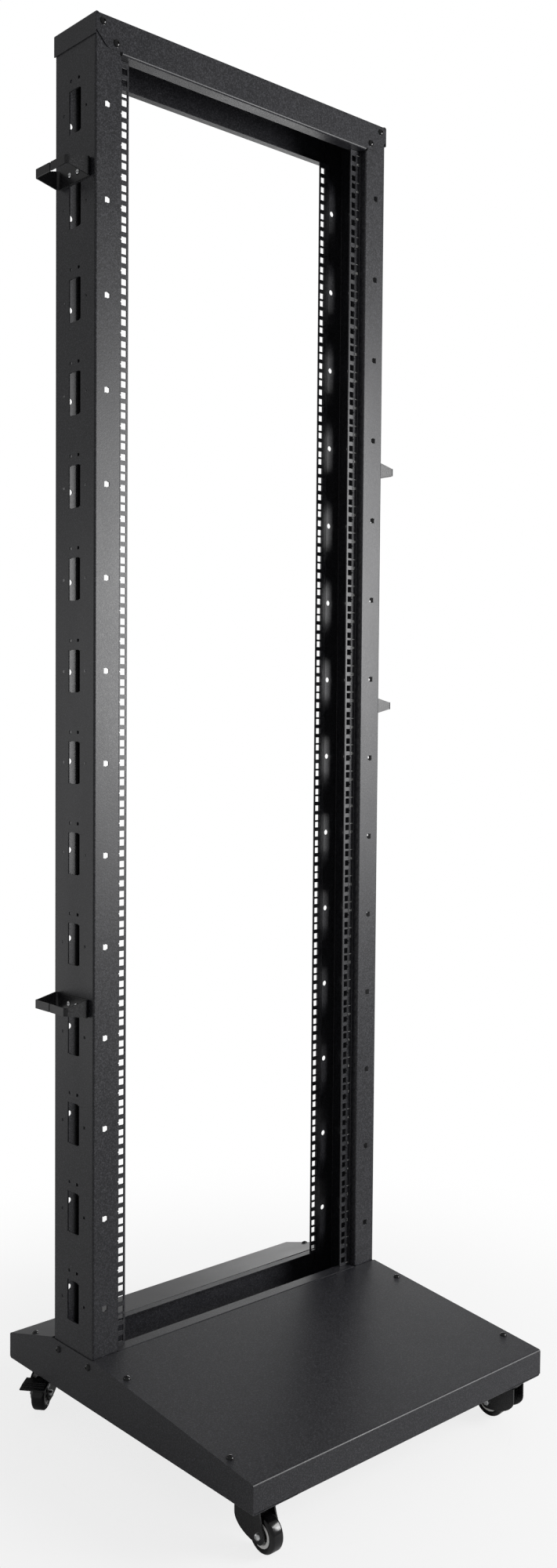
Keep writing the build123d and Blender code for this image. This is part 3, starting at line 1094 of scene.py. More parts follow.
@dataclass
class Post:
    """A folded post with both of its punched rails in one sheet.

    Args:
        side: which side it stands on.
        thickness: sheet thickness.
        fold: radius of the middle line in the folds.
        ends: heights of its lower and upper end.
        rail_gap: gap between the rails' ends and the beam or the base.
        rail_edge: distance of the rails' free edge from the rack's middle.
        hole_row: distance of the square holes from the rack's middle.
        step: distance of the steps' middle line from the rack's middle.
        square: size and corner radius of the square holes.
        notch: depth of the notch in the middle hole of each unit.
        slot: width, height and corner radius of the cable slots.
        face_hole: diameter of the holes in the front and rear faces.
        front_hole_in: distance of the front face's holes from its inner fold.
        rear_hole_in: the same on the rear face.
        ring_hole: diameter of the paired screw holes for the rings.
        ring_pair: half of the distance between them.
        side_hole: diameter of the single holes beside each slot.
        side_hole_out: distance of those from the post's middle.
    """

    FRONT_RAIL, FRONT_FACE, WEB, REAR_FACE, REAR_RAIL = 0, 2, 3, 4, 6

    side: Side
    thickness: float = 2.0
    fold: float = 2.0
    ends: tuple[float, float] = (98.5, 2070.0)
    rail_gap: float = 0.5
    rail_edge: float = 225.0
    hole_row: float = 232.55
    step: float = 248.0
    square: tuple[float, float] = (9.5, 0.6)
    notch: float = 1.8
    slot: tuple[float, float, float] = (30.0, 62.0, 5.5)
    face_hole: float = 9.0
    front_hole_in: float = 21.0
    rear_hole_in: float = 17.0
    ring_hole: float = 5.0
    ring_pair: float = 10.0
    side_hole: float = 4.5
    side_hole_out: float = 28.5

    def outline(self) -> FoldPath:
        """Draws the middle line.

        Returns:
            The path from the front rail's free edge round to the rear rail's.
        """
        half = self.thickness / 2
        web = RACK.half_width - half
        front = [
            (self.rail_edge, RACK.front + half),
            (self.step, RACK.front + half),
            (self.step, RACK.face_front + half),
            (web, RACK.face_front + half),
        ]
        rear = [
            (web, RACK.face_rear - half),
            (self.step, RACK.face_rear - half),
            (self.step, RACK.rear - half),
            (self.rail_edge, RACK.rear - half),
        ]
        return FoldPath(front + rear, self.fold)

    def holes(self, path: FoldPath) -> list[Holes]:
        """Lists the rows of holes.

        Args:
            path: the middle line.

        Returns:
            The square holes, the cable slots and the round holes.
        """
        heights, slots = RACK.hole_heights(), RACK.slot_heights()
        plain, notched = np.delete(heights, np.arange(1, len(heights), 3)), heights[1::3]
        in_row = self.hole_row - self.rail_edge
        half, corner = self.square[0] / 2, self.square[1]
        rows = []
        for flat, row, notch in (
            (self.FRONT_RAIL, in_row, self.notch),
            (self.REAR_RAIL, path.flat_lengths[self.REAR_RAIL] - in_row, -self.notch),
        ):
            rows.append(Holes(flat, row, plain, half, half, corner, 1))
            rows.append(Holes(flat, row, notched, half, half, corner, 1, notch))
        middle = path.flat_lengths[self.WEB] / 2
        wide, tall, rounding = self.slot
        rows.append(Holes(self.WEB, middle, slots, wide / 2, tall / 2, rounding, 4))
        rear_row = path.flat_lengths[self.REAR_FACE] - self.rear_hole_in
        pairs = slots - self.side.value * RACK.unit
        for flat, row, along, size in (
            (self.FRONT_FACE, self.front_hole_in, slots, self.face_hole),
            (self.REAR_FACE, rear_row, slots, self.face_hole),
            (self.WEB, middle - self.ring_pair, pairs, self.ring_hole),
            (self.WEB, middle + self.ring_pair, pairs, self.ring_hole),
            (self.WEB, middle - self.side_hole_out, slots, self.side_hole),
            (self.WEB, middle + self.side_hole_out, slots, self.side_hole),
        ):
            rows.append(Holes(flat, row, along, size / 2, size / 2, size / 2, 3))
        return rows

    def build(self) -> None:
        """Makes the post, with the rails and steps trimmed to stay clear of beam and base."""
        path = self.outline()
        rails = (RACK.ridge + self.rail_gap, RACK.beam_bottom - self.rail_gap)
        trims = {piece: rails for piece in (0, 1, 2, 3, 9, 10, 11, 12)}
        axes = Frame3(first=(self.side.value, 0.0, 0.0))
        builder = MeshBuilder()
        FoldedSheet(path, self.ends, self.thickness, axes, self.holes(path), trims).add_to(builder)
        word = self.side.word
        nodes = (f"post_{word}", f"rail_front_{word}", f"rail_rear_{word}")
        place_piece(builder, f"post_and_rails_{word}", (Finish.FRAME,), nodes)


@dataclass
class UnitMarks:
    """The printed rack unit numbers and boundary dashes on a front rail.

    Args:
        side: which rail they are on.
        text_height: height of the figures.
        number_at: distance of the figures' middle from the rack's middle.
        number_up: height of the figures above the middle of their unit.
        dash: inner and outer end of the dashes.
        dash_height: height of the dashes.
        lift: how far the print stands out.
    """

    FONT_CAPITAL = 0.72

    side: Side
    text_height: float = 4.2
    number_at: float = 241.6
    number_up: float = 7.5
    dash: tuple[float, float] = (239.6, 244.6)
    dash_height: float = 0.7
    lift: float = 0.06

    def figures(self, text: str) -> tuple[Array, Array]:
        """Draws figures with the built-in font.

        Args:
            text: the figures.

        Returns:
            Flat points in millimetres, centred, and the triangles.
        """
        curve = bpy.data.curves.new("figures", "FONT")
        curve.body = text
        curve.align_x = "CENTER"
        curve.align_y = "CENTER"
        curve.size = 1.0
        curve.resolution_u = 3
        carrier = bpy.data.objects.new("figures", curve)
        mesh = bpy.data.meshes.new_from_object(carrier)
        mesh.calc_loop_triangles()
        points = np.zeros(3 * len(mesh.vertices))
        mesh.vertices.foreach_get("co", points)
        triangles = np.zeros(3 * len(mesh.loop_triangles), int)
        mesh.loop_triangles.foreach_get("vertices", triangles)
        bpy.data.objects.remove(carrier)
        bpy.data.curves.remove(curve)
        bpy.data.meshes.remove(mesh)
        flat = points.reshape(-1, 3)[:, :2] * self.text_height / self.FONT_CAPITAL
        return flat, triangles.reshape(-1, 3)

    def add_print(self, builder: MeshBuilder, flat: Array, triangles: Array) -> None:
        """Adds flat print as a thin closed film on the rail's front face.

        Args:
            builder: the mesh that takes the faces.
            flat: points as (x, z).
            triangles: triangles of those points.
        """
        count = len(flat)
        edges = np.stack([triangles, np.roll(triangles, -1, axis=1)], -1).reshape(-1, 2)
        forward, backward = edges @ [count, 1], edges @ [1, count]
        a, b = edges[~np.isin(forward, backward)].T
        depths = (RACK.front - self.lift, RACK.front)
        both = np.concatenate(
            [np.stack([flat[:, 0], np.full(count, y), flat[:, 1]], 1) for y in depths]
        )
        builder.add(both, triangles)
        builder.add(both, triangles[:, ::-1] + count)
        builder.add(both, np.stack([b, a, a + count, b + count], 1))

    def build(self) -> None:
        """Makes the print of one rail."""
        builder = MeshBuilder()
        sign = self.side.value
        for unit in range(RACK.units):
            flat, triangles = self.figures(str(unit + 1))
            height = RACK.first_unit + (unit + 0.5) * RACK.unit + self.number_up
            self.add_print(builder, flat + [sign * self.number_at, height], triangles)
        low, high = sorted(sign * end for end in self.dash)
        for unit in range(RACK.units + 1):
            z = RACK.first_unit + unit * RACK.unit
            under, over = z - self.dash_height / 2, z + self.dash_height / 2
            corners = np.array([[low, under], [high, under], [high, over], [low, over]])
            self.add_print(builder, corners, np.array([[0, 1, 2], [0, 2, 3]]))
        place_piece(builder, f"unit_marks_{self.side.word}", (Finish.PRINT,))


# Beam, channel and base


ACROSS = Frame3(first=(0.0, 1.0, 0.0), second=(0.0, 0.0, 1.0), third=(1.0, 0.0, 0.0))


def side_axes(side: Side) -> Frame3:
    """Returns axes with the first outwards on that side, the second up and the third back."""
    return Frame3(first=(side.value, 0.0, 0.0), second=(0.0, 0.0, 1.0), third=(0.0, 1.0, 0.0))


@dataclass
class Channel:
    """A folded channel across the rack with inward lips: the top beam or the cross channel.

    Args:
        name: name of the visual piece.
        node: the CAD node that it stands for.
        web: height of the web's outer face.
        rim: height of the lips' outer face.
        cut: chamfer of the walls' end corners.
        flap: height of the end flaps, or 0 for none.
        flap_lip: how far a flap's bend reaches over the web's end.
        flap_gap: gap between a flap and the walls' outer faces.
        thickness: sheet thickness.
        fold: radius of the middle line in the folds.
        front_lip: length of the front lip from the wall's outer face.
        rear_lip: length of the rear lip.
        lip_reach: half of the lips' length.
    """

    FRONT_WALL, REAR_WALL = 1, 3

    name: str
    node: str
    web: float
    rim: float
    cut: float = 0.0
    flap: float = 0.0
    flap_lip: float = 4.0
    flap_gap: float = 0.4
    thickness: float = 1.5
    fold: float = 2.25
    front_lip: float = 22.0
    rear_lip: float = 14.0
    lip_reach: float = 246.5

    def add_flap(self, builder: MeshBuilder, side: Side) -> None:
        """Adds the flap that closes one end.

        Args:
            builder: the mesh that takes the faces.
            side: which end.
        """
        half = self.thickness / 2
        outer, top = RACK.half_width + half, self.web - half
        inner = RACK.half_width - self.flap_lip
        path = FoldPath([(inner, top), (outer, top), (outer, self.web - self.flap)], self.fold)
        past = self.thickness - self.flap_gap
        reach = (RACK.face_front - past, RACK.face_rear + past)
        FoldedSheet(path, reach, self.thickness, side_axes(side)).add_to(builder)

    def chamfer(self, path: FoldPath) -> Shape:
        """Makes the shape function that cuts the lower end corners of the upright walls.

        Args:
            path: the fold path, which rises along the front wall and falls along the rear one.

        Returns:
            A function of distances and positions.
        """

        def shape(u: Array, v: Array) -> tuple[Array, Array]:
            """Cuts the walls' lower corners off.

            Args:
                u: distances of the points along the path.
                v: their positions along the fold axis.

            Returns:
                The distances and the new positions.
            """
            limit = np.full_like(u, np.inf)
            for wall in (self.FRONT_WALL, self.REAR_WALL):
                begin, end = path.span(2 * wall)
                inside = (u > begin - NEAR) & (u < end + NEAR)
                height = u - begin if wall == self.FRONT_WALL else end - u
                cut = np.maximum(0.0, self.cut - height)
                limit = np.where(inside, RACK.half_width - cut, limit)
            return u, np.clip(v, -limit, limit)

        return shape

    def build(self) -> None:
        """Makes the channel."""
        half = self.thickness / 2
        inward = half if self.rim > self.web else -half
        rim, web = self.rim - inward, self.web + inward
        front, rear = RACK.face_front - half, RACK.face_rear + half
        front_end = front - half + self.front_lip
        rear_end = rear + half - self.rear_lip
        corners = [(front_end, rim), (front, rim), (front, web), (rear, web), (rear, rim)]
        path = FoldPath([*corners, (rear_end, rim)], self.fold)
        reach = RACK.half_width
        web_reach = reach - self.flap_lip if self.flap else reach
        lips, top = (-self.lip_reach, self.lip_reach), (-web_reach, web_reach)
        trims = {0: lips, 1: lips, 3: top, 4: top, 5: top, 7: lips, 8: lips}
        shape, cross = None, []
        if self.cut:
            shape = self.chamfer(path)
            last = path.flat_lengths[self.REAR_WALL] - self.cut
            cross = [(self.FRONT_WALL, self.cut), (self.REAR_WALL, last)]
        builder = MeshBuilder()
        FoldedSheet(
            path, (-reach, reach), self.thickness, ACROSS,
            trims=trims, cross_lines=cross, shape=shape,
        ).add_to(builder)
        if self.flap:
            for side in Side:
                self.add_flap(builder, side)
        place_piece(builder, self.name, (Finish.FRAME,), (self.node,))


@dataclass
class Cover:
    """A sloping base cover with its apron and return.

    Args:
        name: "front" or "rear".
        ridge_y: depth of its edge at the ridge.
        edge_y: depth of its apron's outer face.
        reach: half of its width.
        thickness: sheet thickness.
        fold: radius of the middle line in the folds.
        lip: length of the return.
        lip_reach: half of the return's width.
    """

    name: str
    ridge_y: float
    edge_y: float
    reach: float = 293.5
    thickness: float = 1.5
    fold: float = 2.25
    lip: float = 16.0
    lip_reach: float = 215.0

    def build(self) -> None:
        """Makes the cover."""
        half = self.thickness / 2
        run = self.ridge_y - self.edge_y
        back = math.copysign(1.0, run)
        rise = RACK.ridge - RACK.edge
        drop = half * math.hypot(1.0, rise / run)
        apron, foot = self.edge_y + back * half, RACK.base_bottom + half
        corners = [
            (self.ridge_y, RACK.ridge - drop),
            (apron, RACK.edge + rise * half / abs(run) - drop),
            (apron, foot),
            (self.edge_y + back * self.lip, foot),
        ]
        lips = (-self.lip_reach, self.lip_reach)
        builder = MeshBuilder()
        FoldedSheet(
            FoldPath(corners, self.fold), (-self.reach, self.reach), self.thickness, ACROSS,
            trims={3: lips, 4: lips},
        ).add_to(builder)
        nodes = (f"base_{self.name}_cover",)
        place_piece(builder, f"{self.name}_cover_sheet", (Finish.FRAME,), nodes)


@dataclass
class BaseSide:
    """A hip shaped side wall of the base with the wide flange that carries the casters.

    Args:
        side: which side it is on.
        gaps: how far its top stays under the covers, at its front end, at the front and rear
            ridge and at its rear end.
        flange: width of the flange.
        thickness: sheet thickness.
        fold: radius of the middle line in the fold.
    """

    side: Side
    gaps: tuple[float, ...] = (1.4, 1.5, 1.6, 1.3)
    flange: float = 78.0
    thickness: float = 1.5
    fold: float = 2.25

    def build(self) -> None:
        """Makes the side."""
        half = self.thickness / 2
        wall, foot = RACK.half_width + half, RACK.base_bottom + half
        inner = RACK.half_width + self.thickness - self.flange
        path = FoldPath([(inner, foot), (wall, foot), (wall, RACK.ridge)], self.fold)
        begin, end = path.span(2)
        front, rear = RACK.base_front + self.thickness, RACK.base_rear - self.thickness
        ridges = (RACK.front_ridge, RACK.rear_ridge)
        tops = np.array([RACK.edge, RACK.ridge, RACK.ridge, RACK.edge]) - self.gaps

        def shape(u: Array, v: Array) -> tuple[Array, Array]:
            """Returns the points with the wall's upper edge brought under the covers."""
            under = end + np.interp(v, [front, *ridges, rear], tops) - RACK.ridge
            return np.where(u > begin, np.minimum(u, under), u), v

        builder = MeshBuilder()
        FoldedSheet(
            path, (front, rear), self.thickness, side_axes(self.side), lines=ridges, shape=shape
        ).add_to(builder)
        word = self.side.word
        nodes = (f"base_side_{word}",)
        place_piece(builder, f"base_side_sheet_{word}", (Finish.FRAME,), nodes)


# Cable rings and screws


@dataclass
class CableRing:
    """A split cable ring: a strap folded into a loop, tall on the post and narrow outside.

    Args:
        side: which post it is on.
        level: "lower" or "upper".
        slot: index of the cable slot that it belongs to.
        depth: how far it stands out.
        width: its size along the post's depth.
        plate: height of the strap on the post.
        strap: height of the outer strap.
        split: width of the split.
        thickness: strap thickness.
        fold: radius of the middle line in the folds.
    """

    side: Side
    level: str
    slot: int
    depth: float = 42.0
    width: float = 83.0
    plate: float = 26.0
    strap: float = 12.0
    split: float = 2.5
    thickness: float = 2.0
    fold: float = 5.0

    def build(self) -> None:
        """Makes the ring."""
        half = self.thickness / 2
        inner, outer = RACK.half_width + half, RACK.half_width + self.depth - half
        near, far = RACK.middle - self.width / 2 + half, RACK.middle + self.width / 2 - half
        gap = self.split / 2
        front = [(outer, RACK.middle - gap), (outer, near), (inner, near)]
        rear = [(inner, far), (outer, far), (outer, RACK.middle + gap)]
        path = FoldPath(front + rear, self.fold)
        knots = [*path.span(2), *path.span(6)]
        tall, low = self.plate / 2, self.strap / 2

        def shape(u: Array, v: Array) -> tuple[Array, Array]:
            """Returns the points kept inside the strap's height."""
            limit = np.interp(u, knots, [low, tall, tall, low])
            return u, np.clip(v, -limit, limit)

        height = RACK.ring_height(self.side, self.slot)
        axes = Frame3((0.0, 0.0, height), (self.side.value, 0.0, 0.0))
        builder = MeshBuilder()
        FoldedSheet(
            path, (-tall, tall), self.thickness, axes, lines=(-low, low), shape=shape
        ).add_to(builder)
        name = f"{self.side.word}_{self.level}"
        nodes = (f"cable_ring_{name}",)
        place_piece(builder, f"ring_strap_{name}", (Finish.RING,), nodes)


@dataclass(frozen=True)
class Screw:
    """A round head screw with a cross recess, on a flat seat.

    Args:
        radius: radius of the head.
        height: height of the head.
        seat: radius of the seat under the head.
        recess: depth of the cross recess.
        sunk: how far the seat reaches under the surface.
        seat_top: height of the seat's edge.
        neck: height at which the dome begins.
        steps: steps round the axis.
        cut: angle in degrees at which the recess cuts the dome.
    """

    radius: float = 5.2
    height: float = 3.4
    seat: float = 5.6
    recess: float = 1.8
    sunk: float = 0.6
    seat_top: float = 0.2
    neck: float = 0.45
    steps: int = 32
    cut: float = 66.0

    def rings(self) -> tuple[Array, Array]:
        """Gives the head's rings: a dome and a cone whose rim swings in and out four times.

        On the dome they are radius * cos(lift) and height * sin(lift). The recess begins at a share
        of the radius between 0.17 and 0.37 and narrows to its floor in two steps.

        Returns:
            The radii and the heights, one row for each ring and one column for each step round.
        """
        angle = np.linspace(0, 2 * math.pi, self.steps, endpoint=False)
        lift = np.linspace(0, math.radians(self.cut), 8)[:, None]
        lobe = 0.5 + 0.5 * np.cos(4 * angle)
        rim = self.radius * (0.17 + 0.2 * lobe)
        crown = self.neck + self.height * np.sqrt(1 - (rim / self.radius) ** 2)
        full = np.ones(self.steps)
        dome = self.radius * np.cos(lift) * full, self.neck + self.height * np.sin(lift) * full
        radii = np.stack([rim, rim * 0.72, rim * 0.05])
        heights = np.stack([crown, crown - self.recess, crown - self.recess * 1.25])
        return np.concatenate([dome[0], radii]), np.concatenate([dome[1], heights])

    def add_to(
        self, builder: MeshBuilder, place: Sequence[float], outward: Sequence[float], slot: int = 0
    ) -> None:
        """Adds the head of a screw.

        Args:
            builder: the mesh that takes the faces.
            place: the point on the surface under the head's middle.
            outward: the direction that the head faces.
            slot: index of the head's material.
        """
        axis = Vector(outward).normalized()
        first = (axis.orthogonal() + axis.cross(axis.orthogonal()) * 0.4).normalized()
        axes = Frame3(tuple(place), tuple(first), tuple(axis.cross(first)), tuple(axis))
        base = (
            (0.0, -self.sunk), (self.seat, -self.sunk), (self.seat, self.seat_top),
            (self.radius, self.neck),
        )
        Turned(base, self.steps).add_to(builder, axes)
        radii, heights = self.rings()
        angle = np.linspace(0, 2 * math.pi, self.steps, endpoint=False)
        points = np.stack([radii * np.cos(angle), radii * np.sin(angle), heights], -1)
        across = np.roll(points, -1, axis=1) - np.roll(points, 1, axis=1)
        facing = normalized(np.cross(across, np.gradient(points, axis=0)))
        index = np.arange(radii.size).reshape(radii.shape)
        after = np.roll(index, -1, axis=1)
        faces = np.stack([index[:-1], after[:-1], after[1:], index[1:]], -1)
        floor = [[0.0, 0.0, float(np.mean(heights[-1]))]]
        placed = axes.points(np.concatenate([points.reshape(-1, 3), floor]))
        normals = axes.directions(np.concatenate([facing.reshape(-1, 3), [[0.0, 0.0, 1.0]]]))
        builder.add(placed, faces[:7].reshape(-1, 4), normals, slot)
        builder.add(placed, faces[7:].reshape(-1, 4), None, slot)
        fan = np.stack([index[-1], after[-1], np.full(self.steps, index.size)], 1)
        builder.add(placed, fan, None, slot)


@dataclass
class FrameScrews:
    """The screws that hold the beam, the base and the rings together.

    Args:
        head: the screws of the beam and the base.
        ring_head: the screws of the rings.
        sheet: thickness of the sheet that the heads sit on.
        beam: the beam's screws, as distances from the rack's middle and from the beam's top.
        wall: depths and the height of the screws in the base's side walls.
        front_cover: distance from the middle and the depths of the front cover's screws.
        rear_cover: the same of the rear cover's screws.
        ring_plate: thickness of the rings' straps.
        ring_pair: half of the distance between a ring's screws.
    """

    head: Screw = Screw()
    ring_head: Screw = Screw(3.5, 1.9, 4.6, 0.9)
    sheet: float = 1.5
    beam: tuple[tuple[float, float], ...] = ((280.0, 11.0), (257.0, 35.0))
    wall: tuple[tuple[float, float], float] = ((80.0, 158.0), 131.0)
    front_cover: tuple[float, tuple[float, ...]] = (280.0, (1.0, -229.0))
    rear_cover: tuple[float, tuple[float, ...]] = (285.0, (236.0,))
    ring_plate: float = 2.0
    ring_pair: float = 10.0

    def add_cover_screws(
        self, builder: MeshBuilder, sign: int, ridge: float, edge: float,
        screws: tuple[float, tuple[float, ...]],
    ) -> None:
        """Adds the screws of one end of a cover, square to its slope.

        Args:
            builder: the mesh that takes the faces.
            sign: the sign of X there.
            ridge: depth of the cover's edge at the ridge.
            edge: depth of its apron.
            screws: distance from the middle and the depths of the screws.
        """
        slope = (RACK.ridge - RACK.edge) / (ridge - edge)
        for y in screws[1]:
            place = (sign * screws[0], y, RACK.edge + slope * (y - edge))
            self.head.add_to(builder, place, (0, -slope, 1))

    def build(self) -> None:
        """Makes all of the frame's screws."""
        builder = MeshBuilder()
        faces = ((RACK.face_front - self.sheet, -1), (RACK.face_rear + self.sheet, 1))
        for side in Side:
            sign = side.value
            for y, facing in faces:
                for x, down in self.beam:
                    place = (sign * x, y, RACK.beam_top - down)
                    self.head.add_to(builder, place, (0, facing, 0))
            for y in self.wall[0]:
                place = (sign * (RACK.half_width + self.sheet), y, self.wall[1])
                self.head.add_to(builder, place, (sign, 0, 0))
            front = (RACK.front_ridge, RACK.base_front, self.front_cover)
            rear = (RACK.rear_ridge, RACK.base_rear, self.rear_cover)
            self.add_cover_screws(builder, sign, *front)
            self.add_cover_screws(builder, sign, *rear)
        for side, slots in RING_SLOTS.items():
            for slot in slots:
                for y in (-self.ring_pair, self.ring_pair):
                    x = side.value * (RACK.half_width + self.ring_plate)
                    place = (x, RACK.middle + y, RACK.ring_height(side, slot))
                    self.ring_head.add_to(builder, place, (side.value, 0, 0), 1)
        place_piece(builder, "frame_screws", (Finish.SCREW, Finish.ZINC))


# Casters


@dataclass
class Caster:
    """A twin race swivel caster with a nylon hub, a rubber tyre and, at the rear, a brake pedal.

    The constants are rows of (radius, height): those of the plate from its underside, those of the
    fork's top and the rivet from their own upper face, and those of the axle from the legs' faces.

    Args:
        corner: name of its corner.
        pivot: X and Y of its swivel axis.
        trail_angle: the way the wheel trails, in degrees from +X towards +Y.
        braked: whether it has a pedal.
        trail: distance of the axle from the swivel axis.
        wheel: wheel radius.
        tread: half of the tyre's width.
        shoulder: height and width of the tyre's rounded shoulders.
        plate: half of the plate's size and its corner radius.
        bolt: distance of the plate's nuts from the axis, along X and Y.
        leg: distance of the legs' inner faces from the middle.
        sheet: thickness of the legs and the plate.
        fork_top: height of the fork's top face.
        fork_sheet: thickness of the fork's top.
        lead: reach of the fork on the side away from the wheel.
        follow: reach of the fork's top on the wheel's side.
        nose: corner radius of the fork's top.
        skirt: height of the skirt over the axle.
        leg_end: radius of the legs' round ends.
        pin: place of the pedal's pin, along the trail and up.
        ear: radius of the sheet round the pin.
        cheek: inner and outer face of the pedal's cheeks.
    """

    RACE = ((0.0, -4.2), (17.5, -4.2), (19.6, -3.2), (20.4, -1.4), (20.0, 0.2), (0.0, 0.2))
    RIVET = (
        (0.0, -2.0), (7.0, -2.0), (8.6, -1.2), (9.0, 0.0), (5.0, 0.0), (5.0, 3.8), (0.0, 3.8),
    )
    NUT = ((0.0, -3.2), (3.6, -3.2), (4.4, -2.6), (4.4, 0.0), (0.0, 0.0))
    DOME = (
        (0.0, -3.0), (5.1, -3.0), (20.8, -3.0), (22.2, -2.6), (22.6, -1.4), (21.8, -0.3),
        (20.0, 0.0), (5.1, 0.0), (0.0, 0.0),
    )
    HEAD = ((4.0, 0.0), (4.9, 0.0), (4.9, 1.0), (4.5, 2.4), (3.4, 3.5), (1.8, 4.0), (0.0, 4.0))
    SHANK = ((0.0, 0.1), (4.0, 0.1))
    AXLE_NUT = ((0.0, -4.0), (4.4, -4.0), (5.4, -3.4), (5.4, 0.0), (0.0, 0.0))
    RIM = (
        (16.95, 9.4), (16.6, 9.95), (12.5, 9.8), (12.1, 9.2), (10.8, 4.9), (10.2, 4.2),
    )
    FACE = ((10.2, 4.2), (7.6, 4.6), (7.0, 9.2), (4.1, 9.2))
    PIN = (
        (0.0, 12.2), (2.0, 12.2), (2.0, 16.7), (4.1, 16.7), (3.9, 18.0), (2.6, 19.0), (0.0, 19.3),
    )

    corner: str
    pivot: tuple[float, float]
    trail_angle: float
    braked: bool = False
    trail: float = 20.0
    wheel: float = 25.0
    tread: float = 10.5
    shoulder: tuple[float, float] = (6.5, 4.5)
    plate: tuple[float, float] = (23.0, 4.0)
    bolt: float = 17.0
    leg: float = 12.0
    sheet: float = 2.5
    fork_top: float = 62.0
    fork_sheet: float = 3.0
    lead: float = 28.0
    follow: float = 22.0
    nose: float = 10.0
    skirt: float = 14.0
    leg_end: float = 11.0
    pin: tuple[float, float] = (38.0, 45.0)
    ear: float = 6.0
    cheek: tuple[float, float] = (14.9, 16.9)

    @property
    def leg_face(self) -> float:
        """Returns the distance of the legs' outer faces from the middle."""
        return self.leg + self.sheet

    def sideways(self, along: float = 0.0, height: float = 0.0) -> Frame3:
        """Gives axes with the first along the trail, the second up and the third to the side.

        Args:
            along: distance of the origin from the swivel axis.
            height: height of the origin.

        Returns:
            The axes.
        """
        angle = math.radians(self.trail_angle)
        c, s = math.cos(angle), math.sin(angle)
        place = (self.pivot[0] + c * along, self.pivot[1] + s * along, height)
        return Frame3(place, (c, s, 0.0), (0.0, 0.0, 1.0), (s, -c, 0.0))

    def upright(self) -> Frame3:
        """Returns axes at the pivot with the first along the trail and the third up."""
        side = self.sideways()
        return Frame3(side.origin, side.first, tuple(-v for v in side.third), side.second)

    def axle(self) -> Frame3:
        """Returns axes at the axle with the third along it."""
        return self.sideways(self.trail, self.wheel)

    def around_pin(self, begin: float) -> Array:
        """Returns an arc of the sheet's radius round the pedal's pin, half a turn from begin."""
        spread = np.linspace(begin, begin + math.pi, 13)
        return self.pin + self.ear * paired(np.cos(spread), np.sin(spread))

    def place(
        self, builder: MeshBuilder, name: str, finishes: Sequence[Finish], slot: str, node: str,
        body: str,
    ) -> None:
        """Makes a piece of this caster, as place_piece does.

        Args:
            builder: the piece's faces.
            name: the piece's name without the corner.
            finishes: what the faces' slots point at.
            slot: not used.
            node: the CAD node that it stands for, without the corner.
            body: the CAD body that it rides on.
        """
        nodes = (f"{node}_{self.corner}",)
        place_piece(builder, f"{name}_{self.corner}", finishes, nodes, body)

    def build_plate(self) -> None:
        """Makes the mounting plate with its race, its rivet head and its four nuts."""
        builder = MeshBuilder()
        under = RACK.base_bottom - self.sheet
        axes = Frame3((*self.pivot, 0.0))
        half, corner = self.plate
        turn = np.linspace(0, math.pi / 2, 6)
        lead = corner * (1 - np.cos(turn)) - half
        reach = half - corner * (1 - np.sin(turn))
        along, across = np.append(lead, -lead[::-1]), np.append(reach, reach[::-1])
        edges = paired(along, -across), paired(along, across)
        Plate(*edges, under, RACK.base_bottom).add_to(builder, axes)
        Turned(lifted(self.RACE, under)).add_to(builder, axes)
        rivet = lifted(self.RIVET, self.fork_top - 3.3)
        Turned(rivet, 40).add_to(builder, axes, 1)
        for x in (-self.bolt, self.bolt):
            for y in (-self.bolt, self.bolt):
                place = Frame3((self.pivot[0] + x, self.pivot[1] + y, under))
                Turned(self.NUT, 6, crease=5.0).add_to(builder, place, 1)
        finishes = (Finish.CASTER, Finish.ZINC)
        self.place(builder, "plate_and_race", finishes, "caster_paint", "caster_plate", ROOT_BODY)

    def build_fork(self) -> None:
        """Makes the fork: a domed top between two tapering legs with round ends.

        Each leg is ruled between its leading edge, a quarter of an ellipse from the skirt down to
        the axle, and its trailing edge, which runs from the round leg end up to the top.
        """
        builder = MeshBuilder()
        top, out = self.fork_top, self.leg_face
        Turned(lifted(self.DOME, top)).add_to(builder, self.upright())
        turn = np.linspace(0, math.pi / 2, 13)
        over, beside = 1 - np.sin(turn), 1 - np.cos(turn)
        nose = paired(self.nose * over - self.lead, self.nose * beside - out)
        edge = np.concatenate([nose[::-1], [[self.follow, -out]]])
        low = top - self.fork_sheet
        Plate(edge, edge * [1, -1], low, top - 0.2).add_to(builder, self.upright())
        crown, skirt, end = low + 0.1, self.wheel + self.skirt, self.trail + self.leg_end
        rise = np.linspace(0, 1, 9)[1:]
        ease = rise * rise * (3 - 2 * rise)
        lead_t = self.trail - (self.trail + self.lead) * np.sin(turn)
        lead_z = skirt - (self.skirt + self.leg_end) * np.cos(turn)
        tail_t = self.trail + self.leg_end * np.sin(turn)
        tail_z = self.wheel - self.leg_end * np.cos(turn)
        front_line = paired(-self.lead, skirt + (crown - skirt) * rise)
        back_t = end - (end - self.follow) * ease
        back_line = paired(back_t, self.wheel + (crown - self.wheel) * rise)
        near = np.concatenate([paired(lead_t, lead_z), front_line])
        far = np.concatenate([paired(tail_t, tail_z), back_line])
        plates = [(near, far)]
        if self.braked:
            root = paired(24.0, np.linspace(39.0, 57.0, 13))
            plates.append((root, self.around_pin(-math.pi / 2)))
        for inner in (self.leg, -out):
            for edges in plates:
                Plate(*edges, inner, inner + self.sheet).add_to(builder, self.sideways())
        self.place(
            builder, "fork", (Finish.CASTER,), "caster_paint", "caster_fork",
            f"swivel_{self.corner}",
        )

